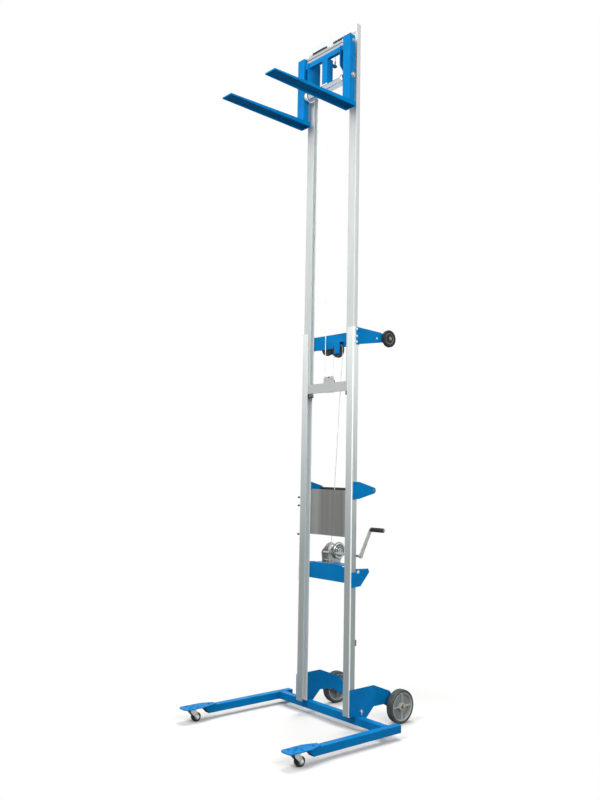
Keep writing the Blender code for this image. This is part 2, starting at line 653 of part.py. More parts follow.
def build_winch_drum():
    centre_y, centre_z = gear_centre()
    left = DRUM_LEFT_X
    right = DRUM_RIGHT_X
    profile = rod("X", (centre_y, centre_z), DRUM_SHAFT, left - 0.0075, 0.0120, 24)
    drum = register("winch_drum", profile, "zinc")
    combine(drum, rod("X", (centre_y, centre_z), DRUM_RADIUS, left + 0.001, right - 0.001, 32))
    for x_low in (left + 0.0003, right - 0.0023):
        combine(drum, rod("X", (centre_y, centre_z), DRUM_FLANGE, x_low, x_low + 0.002, 40))
    turn = GEAR_ANGLE + math.pi
    combine(drum, prism("X", [gear_outline((centre_y, centre_z), GEAR_TEETH, turn)],
                        0.0005 - GEAR_WIDTH / 2 + 0.0005, GEAR_WIDTH / 2 + 0.001))
    place_origin(drum, (0.0, centre_y, centre_z))


def place_origin(piece, origin):
    """Put a piece's origin on its axis without moving the piece."""
    piece.data.transform(Matrix.Translation(-Vector(origin)))
    piece.location = origin


def build_crank():
    spot = (CRANK_Y, CRANK_Z)
    shaft = register("crank_shaft", rod("X", spot, CRANK_SHAFT, DRUM_LEFT_X - 0.0075,
                                        CRANK_ARM_X - SEAT_GAP, 24), "zinc")
    turn = GEAR_ANGLE + math.pi / PINION_TEETH
    combine(shaft, prism("X", [gear_outline(spot, PINION_TEETH, turn)],
                         -GEAR_WIDTH / 2, GEAR_WIDTH / 2 + 0.002))
    place_origin(shaft, (0.0, *spot))
    build_crank_arm()


def build_crank_arm():
    spot = Vector((CRANK_Y, CRANK_Z))
    reach = Vector((math.cos(CRANK_ANGLE), math.sin(CRANK_ANGLE))) * CRANK_LENGTH
    tip = spot + reach
    facing = math.degrees(CRANK_ANGLE)
    outline = arc(spot, 0.0130, facing + 110, facing + 250, 8)
    outline += arc(tip, 0.0110, facing - 70, facing + 70, 8)
    x_high = CRANK_ARM_X + CRANK_ARM_SHEET
    arm = register("crank_arm", prism("X", [outline], CRANK_ARM_X, x_high), "zinc")
    combine(arm, rod("X", spot, 0.0110, CRANK_ARM_X + 0.001, x_high + 0.007, 6))
    pin_end = x_high + GRIP_LENGTH + 0.004
    combine(arm, rod("X", tip, 0.0050, CRANK_ARM_X + 0.001, pin_end, 16))
    place_origin(arm, (0.0, *spot))
    half = GRIP_LENGTH / 2
    bore = 0.0050 + RUN_GAP
    profile = [(GRIP_RADIUS - 0.003, half), (GRIP_RADIUS, half - 0.004),
               (GRIP_RADIUS - 0.0015, 0.0), (GRIP_RADIUS, 0.006 - half),
               (GRIP_RADIUS - 0.003, -half), (bore, -half), (bore, half)]
    turned("crank_grip", profile, "X", (x_high + SEAT_GAP + half, *tip), "black", 24)


def build_base():
    leg_low = LEG_X - TUBE / 2
    leg_high = LEG_X + TUBE / 2
    for word, side in SIDES:
        outline = [(LEG_FRONT_Y, TUBE_TOP_Z), (LEG_REAR_Y, TUBE_TOP_Z), (LEG_REAR_Y, TUBE_Z),
                   (LEG_FRONT_Y + LEG_SLANT, TUBE_Z)]
        x_low, x_high = sorted((side * leg_low, side * leg_high))
        leg = register(f"leg_{word}", prism("X", [outline], x_low, x_high), "blue")
        bevel(leg, 0.0025)
        cut(leg, side_box(side, (leg_low + TUBE_WALL, LEG_FRONT_Y - 0.01, TUBE_Z + TUBE_WALL),
                          (leg_high - TUBE_WALL, LEG_REAR_Y - TUBE_WALL, TUBE_TOP_Z - TUBE_WALL)))
        build_foot(word, side)
    section = [(CROSS_Y, TUBE_Z), (CROSS_Y + TUBE, TUBE_Z), (CROSS_Y + TUBE, TUBE_TOP_Z),
               (CROSS_Y, TUBE_TOP_Z)]
    wall = TUBE_WALL
    hollow = [(CROSS_Y + wall, TUBE_Z + wall), (CROSS_Y + TUBE - wall, TUBE_Z + wall),
              (CROSS_Y + TUBE - wall, TUBE_TOP_Z - wall), (CROSS_Y + wall, TUBE_TOP_Z - wall)]
    end_x = leg_low - SEAT_GAP
    register("cross_tube", prism("X", [section, hollow], -end_x, end_x), "blue")


def build_foot(word, side):
    """Flat plate over the leg's front end, with a swivel caster under it."""
    half = FOOT_WIDTH / 2
    tail = FOOT_TAIL_WIDTH / 2
    corner = 0.024
    points = [(-tail, FOOT_REAR_Y), (-half, FOOT_SHOULDER_Y)]
    points += arc((corner - half, FOOT_FRONT_Y + corner), corner, 180, 270, 4)
    points += arc((half - corner, FOOT_FRONT_Y + corner), corner, 270, 360, 4)
    points += [(half, FOOT_SHOULDER_Y), (tail, FOOT_REAR_Y)]
    outline = [(side * LEG_X + x, y) for x, y in points]
    plate_z = TUBE_TOP_Z + SEAT_GAP
    plate = register(f"foot_plate_{word}", prism("Z", [outline], plate_z, plate_z + FOOT_PLATE),
                     "blue")
    for y in (CASTER_Y, FOOT_SHOULDER_Y + 0.040):
        combine(plate, rod("Z", (side * LEG_X, y), 0.0080, plate_z + FOOT_PLATE / 2,
                           plate_z + FOOT_PLATE + 0.005, 6))
    build_caster(word, side * LEG_X, plate_z)


def build_caster(word, x, plate_z):
    axle = (CASTER_Y + CASTER_TRAIL, CASTER_RADIUS)
    top_z = plate_z - SEAT_GAP
    inner = CASTER_WIDTH / 2 + 0.001
    outer = inner + CASTER_SHEET
    fork = register(f"caster_fork_{word}", rod("Z", (x, CASTER_Y), 0.0190, top_z - 0.008, top_z,
                                               20), "zinc")
    combine(fork, box((x - outer, CASTER_Y - 0.016, top_z - 0.011),
                      (x + outer, CASTER_Y + 0.018, top_z - 0.007)))
    cheek = [(CASTER_Y - 0.016, top_z - 0.008), (CASTER_Y - 0.014, top_z - 0.022)]
    cheek += arc(axle, 0.0100, -150, 20, 6)
    cheek += [(CASTER_Y + 0.018, top_z - 0.008)]
    for x_low in (x - outer, x + inner):
        combine(fork, prism("X", [cheek], x_low, x_low + CASTER_SHEET))
    combine(fork, rod("X", axle, 0.0040, x - outer - 0.002, x + outer + 0.002, 12))
    place_origin(fork, (x, CASTER_Y, top_z))
    half = CASTER_WIDTH / 2
    bore = 0.0040 + RUN_GAP
    profile = [(CASTER_RADIUS - 0.002, half), (CASTER_RADIUS, half - 0.003),
               (CASTER_RADIUS, 0.003 - half), (CASTER_RADIUS - 0.002, -half),
               (bore, -half), (bore, half)]
    turned(f"caster_wheel_{word}", profile, "X", (x, *axle), "tyre")


def bracket_shift(y):
    """How far the bracket's plate has bent inwards at a depth."""
    return max(0.0, y - BRACKET_BEND_Y) * math.tan(BRACKET_BEND)


def build_axle_brackets():
    foot_z = TUBE_TOP_Z + SEAT_GAP
    tube_rear = CROSS_Y + TUBE + SEAT_GAP
    front_y = RAIL_FRONT_Y + 0.0005
    outline = [(front_y, 0.088), (RAIL_REAR_Y, foot_z), (tube_rear, foot_z), (tube_rear, 0.046),
               (tube_rear + 0.028, 0.046), (BRACKET_BEND_Y, 0.1127),
               (WHEEL_Y - 0.0843, 0.1090)]
    outline += arc((WHEEL_Y, WHEEL_RADIUS), 0.030, -130, 60, 8)
    outline += [(WHEEL_Y - 0.0323, 0.1765), (BRACKET_BEND_Y, 0.2316), (front_y, BRACKET_TOP_Z)]
    for word, side in SIDES:
        x_low, x_high = sorted((side * PLATE_X, side * (PLATE_X + SHEET)))
        shape = bmesh.new()
        shape.from_mesh(prism("X", [outline], x_low, x_high))
        bmesh.ops.bisect_plane(shape, geom=shape.verts[:] + shape.edges[:] + shape.faces[:],
                               plane_co=(0, BRACKET_BEND_Y, 0), plane_no=(0, 1, 0))
        for corner in shape.verts:
            corner.co.x -= side * bracket_shift(corner.co.y)
        bracket = register(f"axle_bracket_{word}", finish_mesh(shape), "blue")
        build_rear_wheel(word, side, bracket)
        build_lock_pin(word, side)


def build_rear_wheel(word, side, bracket):
    spot = (WHEEL_Y, WHEEL_RADIUS)
    plate_x = PLATE_X - bracket_shift(WHEEL_Y)
    hub_in = WHEEL_OUTER_X - WHEEL_WIDTH
    combine(bracket, side_rod(side, spot, AXLE_RADIUS + 0.006, plate_x + SHEET / 2,
                              hub_in - SEAT_GAP, 24))
    combine(bracket, side_rod(side, spot, AXLE_RADIUS, plate_x + SHEET / 2,
                              WHEEL_OUTER_X + 0.0100, 24))
    half = WHEEL_WIDTH / 2
    wall = RIM_RADIUS + SEAT_GAP
    tyre = [(WHEEL_RADIUS - 0.006, half), (WHEEL_RADIUS - 0.0015, half - 0.003),
            (WHEEL_RADIUS, half - 0.010), (WHEEL_RADIUS, 0.010 - half),
            (WHEEL_RADIUS - 0.0015, 0.003 - half), (WHEEL_RADIUS - 0.006, -half),
            (wall, 0.003 - half), (wall, half - 0.003)]
    centre = (side * (WHEEL_OUTER_X - half), *spot)
    turned(f"rear_tyre_{word}", tyre, "X", centre, "tyre", 48)
    bore = AXLE_RADIUS + RUN_GAP
    rim = [(RIM_RADIUS, half - 0.001), (RIM_RADIUS, 0.001 - half), (RIM_RADIUS - 0.006, 0.001 - half),
           (RIM_RADIUS - 0.009, -0.004), (HUB_RADIUS, -0.004), (HUB_RADIUS - 0.002, -half),
           (bore, -half), (bore, half), (HUB_RADIUS - 0.002, half), (HUB_RADIUS, 0.004),
           (RIM_RADIUS - 0.009, 0.004), (RIM_RADIUS - 0.006, half - 0.001)]
    turned(f"rear_rim_{word}", rim, "X", centre, "rim", 48)


def build_lock_pin(word, side):
    """Quick pin that holds the base tube in the bracket."""
    spot = (CROSS_Y + 0.040, TUBE_TOP_Z + 0.026)
    x_low = PLATE_X + SHEET + SEAT_GAP
    pin = register(f"lock_pin_{word}", side_rod(side, spot, 0.0060, x_low, x_low + 0.010, 16),
                   "zinc")
    combine(pin, rod("Z", (side * (x_low + 0.007), spot[0]), 0.0025, spot[1] - 0.018,
                     spot[1] + 0.012, 10))


def build_carriage():
    """Uprights, side plates and channels of the carriage, welded in one."""
    upright_z = FORK_TOP_Z + SEAT_GAP
    top_z = upright_z + UPRIGHT_HEIGHT
    outer_x = UPRIGHT_INNER_X + UPRIGHT_WIDTH
    rear_y = UPRIGHT_FRONT_Y + UPRIGHT_DEPTH
    bar_rear_y = TOP_BAR_FRONT_Y + TOP_BAR_DEPTH
    seat_z = TOP_BAR_Z - SEAT_GAP
    bar_x = UPRIGHT_INNER_X + UPRIGHT_WALL / 2
    frame = register("carriage_frame", box((-bar_x, TOP_BAR_FRONT_Y, CROSS_BAR_Z),
                                           (bar_x, bar_rear_y, seat_z)), "blue")
    for word, side in SIDES:
        combine(frame, side_box(side, (UPRIGHT_INNER_X, UPRIGHT_FRONT_Y, upright_z),
                                (outer_x, rear_y, top_z)))
        cut(frame, side_box(side, (UPRIGHT_INNER_X + UPRIGHT_WALL, UPRIGHT_FRONT_Y + UPRIGHT_WALL,
                                   upright_z - 0.010),
                            (outer_x - UPRIGHT_WALL, rear_y - UPRIGHT_WALL,
                             top_z - UPRIGHT_WALL)))
        plate_z = FORK_TOP_Z + 0.218
        plate_top = FORK_TOP_Z + 0.400
        plate = [(0.030, plate_z + 0.032), (0.060, plate_z), (0.134, plate_z),
                 (0.134, plate_top - 0.010), (0.090, plate_top), (bar_rear_y + SEAT_GAP, plate_top),
                 (bar_rear_y + SEAT_GAP, seat_z - 0.001), (0.030, seat_z - 0.001)]
        x_low, x_high = sorted((side * SIDE_PLATE_X, side * (SIDE_PLATE_X + SIDE_PLATE_SHEET)))
        combine(frame, prism("X", [plate], x_low, x_high))
        combine(frame, side_rod(side, (ROPE_Y, CHANNEL_ROLLER_Z), CARRIAGE_PIN, SIDE_PLATE_X + 0.001,
                                CHANNEL_ROLLER_X + CHANNEL_ROLLER_WIDTH - 0.002))
        build_rollers(word, side)
    post_z = FACE_ROLLER_Z + LOWER_TUBE_RADIUS + SEAT_GAP
    post = [(-0.0235, 0.040), (0.0235, 0.040), (0.0235, 0.088), (-0.0235, 0.088),
            (-0.0235, 0.084), (0.0195, 0.084), (0.0195, 0.044), (-0.0235, 0.044)]
    combine(frame, prism("Z", [post], post_z, CROSS_BAR_Z + 0.002))
    anchor_x = 2 * TOP_SHEAVE_PITCH - SHEAVE_PITCH
    combine(frame, box((anchor_x - 0.010, 0.086, CROSS_BAR_Z - 0.030),
                       (anchor_x + 0.010, ROPE_Y + 0.008, CROSS_BAR_Z - ANCHOR_DROP)))
    build_carriage_tubes()


def build_carriage_tubes():
    end_x = UPRIGHT_INNER_X - SEAT_GAP
    lower_end = FACE_ROLLER_X - SEAT_GAP
    spot = (CARRIAGE_AXLE_Y, FACE_ROLLER_Z)
    lower = register("carriage_lower_bar", rod("X", spot, LOWER_TUBE_RADIUS, -lower_end, lower_end,
                                               32), "chrome")
    combine(lower, rod("X", spot, CARRIAGE_PIN, -end_x, end_x, 20))
    front_y = TOP_BAR_FRONT_Y
    rear_y = front_y + TOP_BAR_DEPTH
    top_z = TOP_BAR_Z + TOP_BAR_HEIGHT
    groove_z = TOP_BAR_Z + TOP_BAR_HEIGHT / 2
    half = TOP_BAR_GROOVE / 2
    section = [(front_y, TOP_BAR_Z), (front_y, groove_z - half),
               (front_y + TOP_BAR_GROOVE, groove_z - half),
               (front_y + TOP_BAR_GROOVE, groove_z + half), (front_y, groove_z + half),
               (front_y, top_z), (rear_y, top_z), (rear_y, TOP_BAR_Z)]
    register("carriage_top_bar", prism("X", [section], -end_x, end_x), "chrome")


def build_rollers(word, side):
    bore = CARRIAGE_PIN + RUN_GAP
    half = FACE_ROLLER_WIDTH / 2
    radius = FACE_ROLLER_RADIUS
    profile = [(radius - 0.002, half), (radius, half - 0.003), (radius, 0.003 - half),
               (radius - 0.002, -half), (bore, -half), (bore, half)]
    turned(f"face_roller_{word}", profile, "X",
           (side * (FACE_ROLLER_X + half), CARRIAGE_AXLE_Y, FACE_ROLLER_Z), "zinc")
    half = CHANNEL_ROLLER_WIDTH / 2
    radius = (MAST_REAR_Y - MAST_FRONT_Y) / 2 - MAST_WALL - SEAT_GAP
    profile = [(radius - 0.001, half), (radius, half - 0.002), (radius, 0.002 - half),
               (radius - 0.001, -half), (bore, -half), (bore, half)]
    turned(f"channel_roller_{word}", profile, "X",
           (side * (CHANNEL_ROLLER_X + half), ROPE_Y, CHANNEL_ROLLER_Z), "black")


def build_forks():
    """Downward channels whose flanges taper from heel to tip."""
    low_z = FORK_TOP_Z - FORK_DEPTH
    tip_z = FORK_TOP_Z - FORK_TIP_DEPTH
    for word, side in SIDES:
        section = [(FORK_HEEL_Y, low_z), (FORK_TIP_Y, tip_z), (FORK_TIP_Y, FORK_TOP_Z),
                   (FORK_HEEL_Y, FORK_TOP_Z)]
        x_low, x_high = sorted((side * FORK_INNER_X, side * (FORK_INNER_X + FORK_WIDTH)))
        fork = register(f"fork_{word}", prism("X", [section], x_low, x_high), "blue")
        cut(fork, side_box(side, (FORK_INNER_X + FORK_WALL, FORK_TIP_Y + FORK_WALL, low_z - 0.01),
                           (FORK_INNER_X + FORK_WIDTH - FORK_WALL, FORK_HEEL_Y - FORK_WALL,
                            FORK_TOP_Z - FORK_WEB)))


def rope(name, points):
    """A stretch of wire rope through its points."""
    curve = bpy.data.curves.new(name, "CURVE")
    curve.dimensions = "3D"
    curve.bevel_depth = ROPE_RADIUS
    curve.bevel_resolution = 2
    curve.use_fill_caps = True
    spline = curve.splines.new("POLY")
    spline.points.add(len(points) - 1)
    for point, place in zip(spline.points, points):
        point.co = (*place, 1.0)
    piece = bpy.data.objects.new(name, curve)
    PARTS.objects.link(piece)
    colour, roughness, metallic = FINISHES["rope"]
    curve.materials.append(make_material(name, colour, roughness, metallic))


def build_rope():
    """The straight stretches between the sheaves, the drum and the carriage."""
    left, right = -SHEAVE_PITCH, SHEAVE_PITCH
    top_z = MAST_TOP_Z - TOP_SHEAVE_DROP
    anchor_x = 2 * TOP_SHEAVE_PITCH - SHEAVE_PITCH
    drum_y, drum_z = gear_centre()
    rope("cable_mast", [(left, ROPE_Y, LOWER_SHEAVE_Z), (left, ROPE_Y, top_z)])
    rope("cable_lift", [(right, ROPE_Y, LOWER_SHEAVE_Z), (right, ROPE_Y, HEAD_SHEAVE_Z)])
    rope("cable_carriage", [(anchor_x, ROPE_Y, CROSS_BAR_Z - ANCHOR_DROP + SEAT_GAP),
                            (anchor_x, ROPE_Y, top_z)])
    drum_front = drum_y - DRUM_RADIUS - ROPE_RADIUS - SEAT_GAP
    rope("cable_winch", [((DRUM_LEFT_X + DRUM_RIGHT_X) / 2, drum_front, drum_z),
                         (3 * SHEAVE_PITCH, ROPE_Y, HEAD_SHEAVE_Z)])


def main():
    global PARTS, CUTTERS
    for old in list(bpy.data.objects):
        bpy.data.objects.remove(old)
    PARTS = bpy.data.collections.new("material_lift")
    CUTTERS = bpy.data.collections.new("cutters")
    for group in (PARTS, CUTTERS):
        bpy.context.scene.collection.children.link(group)
    build_fixed_rails()
    build_telescoping_rails()
    build_lower_bar()
    build_top_bar()
    build_head_bracket()
    build_handle()
    build_cover_plate()
    build_winch_bar()
    build_winch_frame()
    build_winch_drum()
    build_crank()
    build_base()
    build_axle_brackets()
    build_carriage()
    build_forks()
    build_rope()


main()
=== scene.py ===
import json
import math

import bmesh
import bpy
from bpy.props import FloatProperty, FloatVectorProperty, IntProperty, PointerProperty
from mathutils import Matrix, Vector

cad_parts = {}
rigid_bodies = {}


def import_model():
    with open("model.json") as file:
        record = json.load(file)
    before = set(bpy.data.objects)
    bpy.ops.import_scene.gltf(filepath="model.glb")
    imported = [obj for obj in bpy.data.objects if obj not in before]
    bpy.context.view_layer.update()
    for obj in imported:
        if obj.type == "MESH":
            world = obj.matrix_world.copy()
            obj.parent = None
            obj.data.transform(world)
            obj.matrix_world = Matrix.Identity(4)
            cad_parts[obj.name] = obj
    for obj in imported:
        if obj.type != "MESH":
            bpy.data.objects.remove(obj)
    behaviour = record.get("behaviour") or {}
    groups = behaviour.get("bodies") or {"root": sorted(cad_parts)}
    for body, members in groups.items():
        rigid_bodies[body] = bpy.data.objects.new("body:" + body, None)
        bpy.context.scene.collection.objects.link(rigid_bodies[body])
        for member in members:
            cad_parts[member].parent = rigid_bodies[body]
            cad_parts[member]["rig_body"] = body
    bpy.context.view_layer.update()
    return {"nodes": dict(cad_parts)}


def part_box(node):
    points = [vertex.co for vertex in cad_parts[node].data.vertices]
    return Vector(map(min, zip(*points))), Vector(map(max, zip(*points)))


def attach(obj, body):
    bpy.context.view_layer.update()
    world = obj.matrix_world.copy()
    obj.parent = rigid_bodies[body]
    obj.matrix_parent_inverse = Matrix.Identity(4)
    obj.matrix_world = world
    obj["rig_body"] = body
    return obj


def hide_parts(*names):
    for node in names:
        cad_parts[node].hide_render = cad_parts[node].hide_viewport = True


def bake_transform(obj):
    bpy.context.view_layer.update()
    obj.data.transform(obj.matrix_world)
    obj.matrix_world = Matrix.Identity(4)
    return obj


bl_info = {
    "name": "Material Lift Finish",
    "version": (1, 0, 0),
    "blender": (4, 5, 0),
    "location": "3D View > Sidebar > Lift",
    "description": "Adds the fasteners, wheels, ropes and finishes of a hand-winched lift",
    "category": "Object",
}

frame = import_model()
SIDES = (("left", -1), ("right", 1))

BLACK = (0.0, 0.0, 0.0)
WHITE = (1.0, 1.0, 1.0)
MIX_A, MIX_B, MIX_RESULT = 6, 7, 2      # sockets of a colour mix
SHARP = math.radians(35)                # edges that shading keeps
ROUNDED = math.radians(40)              # edges that the bevel rounds
WELD = 0.00001                          # points nearer than this are joined
PIN_BORE = 0.0063                       # radius of a roller's or sheave's bore
ROPE_SEAT = 0.0061                      # a sheave's rim stands this far above its rope
STRANDS = 6
BEAD_STEP = 0.003
GEAR_FACE_X = 0.0060                    # outer face of the winch drum's gear
DRUM_RADIUS = 0.0220
DRUM_START_X, DRUM_END_X = -0.0675, -0.0165
BRACKET_FACE_X = 0.2328                 # outer face of the rear axle brackets

# The photograph's camera
CAMERA_PLACE = (3.700, -3.243, 1.450)
CAMERA_TURNS = (-49.98, 5.71, 1.08)     # yaw, pitch and roll
CAMERA_LENS, CAMERA_SENSOR = 37.45, 36.0
CAMERA_SHIFT = (0.0039, -0.016)

# Name, place, aim, size and power
LAMPS = (("key", (0.3, -4.0, 4.8), (0.0, 0.0, 3.0), 3.4, 205.0),
         ("side", (4.4, -1.0, 3.4), (0.0, 0.0, 2.6), 3.0, 160.0),
         ("top", (-1.0, 1.5, 7.2), (0.0, 0.0, 0.0), 3.6, 290.0))
LAMP_COLOUR = (1.0, 0.985, 0.965)
ROOM_COLOUR, ROOM_STRENGTH = (0.91, 1.0, 1.0), 0.38
FLOOR_SEEN, FLOOR_UNSEEN = (0.80, 0.783, 0.78), (0.20, 0.195, 0.19)
FLOOR_FADE = (0.74, 1.30)               # from the lift's middle to plain white

# Where a rail's painted shade, for light falling off, runs from its darker lower end to its own
# colour
PAINTED_SHADE_LOW, PAINTED_SHADE_HIGH = 0.9, 2.3


def middle(node):
    """The middle of a CAD node's box."""
    low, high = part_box(node)
    return (low + high) / 2


def outer_face(node, side):
    """Where a CAD node's box ends in X on the left (-1) or right (+1)."""
    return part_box(node)[1 if side > 0 else 0].x


def tint(name, description, colour):
    return FloatVectorProperty(name=name, description=description, subtype="COLOR", size=3,
                               default=colour, min=0.0, max=1.0)


def length(name, description, default, least, most):
    return FloatProperty(name=name, description=description, subtype="DISTANCE", unit="LENGTH",
                         default=default, min=least, max=most)


class LiftColours(bpy.types.PropertyGroup):
    """Base colours of the lift's finishes."""

    enamel: tint("Enamel", "Blue enamel of the brackets, forks and base", (0.001, 0.188, 0.495))
    rail: tint("Rail", "Bare extruded rails of both masts", (0.600, 0.630, 0.630))
    plating: tint("Plating", "Zinc plating of the winch and the bolts", (0.400, 0.425, 0.410))
    sheet: tint("Sheet", "Bare sheet of the cover plate", (0.180, 0.182, 0.176))
    tyre: tint("Tyre", "Rubber of the wheels", (0.052, 0.058, 0.059))
    rim: tint("Rim", "Grey moulded rims of the rear wheels", (0.400, 0.420, 0.425))
    grip: tint("Grip", "Black grip, handle, rollers and sheaves", (0.018, 0.018, 0.020))


class LiftSizes(bpy.types.PropertyGroup):
    """Sizes of the small parts that the frame doesn't carry."""

    edge: length("Edge", "Rounding of sheet and tube edges", 0.0007, 0.0001, 0.003)
    bolt: length("Bolt head", "Width across a bolt head's corners", 0.0150, 0.006, 0.03)
    bolt_height: length("Bolt height", "How far a bolt head stands out", 0.0055, 0.002, 0.012)
    rope: length("Rope", "Radius of the wire rope", 0.0025, 0.001, 0.005)
    lay: length("Rope lay", "Length of one turn of the rope's strands", 0.0300, 0.01, 0.1)
    spokes: IntProperty(name="Spokes", description="Spokes of a rear wheel's rim",
                        default=4, min=3, max=8)
    ribs: IntProperty(name="Grip ribs", description="Ribs along the crank's grip",
                      default=11, min=3, max=20)
    turns: IntProperty(name="Rope turns", description="Turns of rope on the winch drum",
                       default=10, min=2, max=20)


# Finishes


def link(thing):
    bpy.context.scene.collection.objects.link(thing)


def feed(tree, value, socket):
    """Links a socket, or sets it where the value is a plain number or colour."""
    if isinstance(value, bpy.types.NodeSocket):
        tree.links.new(value, socket)
    else:
        socket.default_value = (*value, 1.0) if socket.type == "RGBA" else value


def fill(tree, node, **values):
    """Links or sets a node's input sockets by name."""
    for name, value in values.items():
        feed(tree, value, node.inputs[name.replace("_", " ")])
    return node


def add_node(tree, kind, **values):
    return fill(tree, tree.nodes.new("ShaderNode" + kind), **values)


def blank_finish(name):
    """A material with a shader and the piece's own coordinates."""
    finish = bpy.data.materials.new(name)
    finish.use_nodes = True
    tree = finish.node_tree
    shader = tree.nodes["Principled BSDF"]
    return finish, tree, shader, add_node(tree, "TexCoord").outputs["Object"]


def stretched(tree, coords, scale):
    """The coordinates scaled along each axis."""
    return add_node(tree, "Mapping", Vector=coords, Scale=scale).outputs["Vector"]


def noise(tree, coords, scale, detail=3.0, roughness=0.55):
    return add_node(tree, "TexNoise", Vector=coords, Scale=scale, Detail=detail,
                    Roughness=roughness).outputs["Fac"]


def ramp(tree, value, low, high, first, second):
    """Two colours mixed over a band of a texture's value."""
    stops = add_node(tree, "ValToRGB", Fac=value)
    for stop, spot, colour in zip(stops.color_ramp.elements, (low, high), (first, second)):
        stop.position, stop.color = spot, (*colour, 1.0)
    return stops.outputs["Color"]


def spread(tree, value, low, high, start=0.3, end=0.7):
    """A value brought from one band of numbers to another."""
    return add_node(tree, "MapRange", Value=value, From_Min=start, From_Max=end, To_Min=low,
                    To_Max=high).outputs["Result"]


def scaled(colour, factor):
    return tuple(min(1.0, part * factor) for part in colour)


def tones(tree, value, colour, dark, light, low=0.35, high=0.65):
    """A colour that a texture darkens and lightens."""
    return ramp(tree, value, low, high, scaled(colour, dark), scaled(colour, light))


def mask(tree, value, low, high, most):
    """A texture's value as a grey from 0 to most."""
    return ramp(tree, value, low, high, BLACK, (most, most, most))


def math_node(tree, operation, first, second=0.0):
    node = tree.nodes.new("ShaderNodeMath")
    node.operation = operation
    tree.links.new(first, node.inputs[0])
    feed(tree, second, node.inputs[1])
    return node.outputs["Value"]


def axis_of(tree, coords, axis):
    """One of the coordinates."""
    return add_node(tree, "SeparateXYZ", Vector=coords).outputs[axis]


def off_middle(tree, coords):
    """The distance from the lift's middle plane."""
    return math_node(tree, "ABSOLUTE", axis_of(tree, coords, "X"))


def blend_colours(tree, factor, first, second, mode="MIX"):
    mix = tree.nodes.new("ShaderNodeMix")
    mix.data_type = "RGBA"
    mix.blend_type = mode
    feed(tree, factor, mix.inputs["Factor"])
    feed(tree, first, mix.inputs[MIX_A])
    feed(tree, second, mix.inputs[MIX_B])
    return mix.outputs[MIX_RESULT]


def seen_rays(tree):
    """1 for the rays of the camera and of what mirrors or shows the room."""
    rays = add_node(tree, "LightPath").outputs
    total = math_node(tree, "MAXIMUM", rays["Is Camera Ray"], rays["Is Glossy Ray"])
    return math_node(tree, "MAXIMUM", total, rays["Is Transmission Ray"])


def cover(tree, shader, base, value, smooth, rough, metallic=0.0):
    """A finish's colour, roughness and metal."""
    fill(tree, shader, Base_Color=base, Roughness=spread(tree, value, smooth, rough),
         Metallic=metallic)


def relief(tree, shader, height, strength, distance):
    bump = add_node(tree, "Bump", Height=height, Strength=strength, Distance=distance)
    tree.links.new(bump.outputs["Normal"], shader.inputs["Normal"])


def enamel(name, colour, scuffed=False):
    """Baked enamel with a faint orange peel, and scuffs where loads rub."""
    finish, tree, shader, coords = blank_finish(name)
    base = tones(tree, noise(tree, coords, 9.0, 4.0), colour, 0.90, 1.08)
    if scuffed:
        streaks = noise(tree, stretched(tree, coords, (1.0, 0.12, 1.0)), 160.0, 6.0, 0.7)
        scuffs = mask(tree, streaks, 0.62, 0.72, 0.6)
        base = blend_colours(tree, scuffs, base, scaled(colour, 0.45))
    cover(tree, shader, base, noise(tree, coords, 34.0), 0.30, 0.42)
    gloss, coat = (0.01, 0.0) if scuffed else (0.04, 0.02)
    fill(tree, shader, Specular_IOR_Level=gloss, Coat_Weight=coat, Coat_Roughness=0.15)
    relief(tree, shader, noise(tree, coords, 700.0, 1.0), 0.10, 0.0004)
    return finish


def inside_of(tree, coords, rail, wall):
    """1 within a rail's channel, 0 on its outer faces."""
    low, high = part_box(rail)
    across = math_node(tree, "LESS_THAN", off_middle(tree, coords), high.x - wall)
    along = math_node(tree, "SUBTRACT", axis_of(tree, coords, "Y"), (low.y + high.y) / 2)
    along = math_node(tree, "ABSOLUTE", along)
    along = math_node(tree, "LESS_THAN", along, (high.y - low.y) / 2 - wall)
    return math_node(tree, "MULTIPLY", across, along)


def corner_of(tree, coords, rail, reach):
    """1 on the rounded outer front corner of a rail, 0 elsewhere."""
    low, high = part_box(rail)
    across = math_node(tree, "GREATER_THAN", off_middle(tree, coords), high.x - reach)
    along = math_node(tree, "LESS_THAN", axis_of(tree, coords, "Y"), low.y + reach)
    return math_node(tree, "MULTIPLY", across, along)


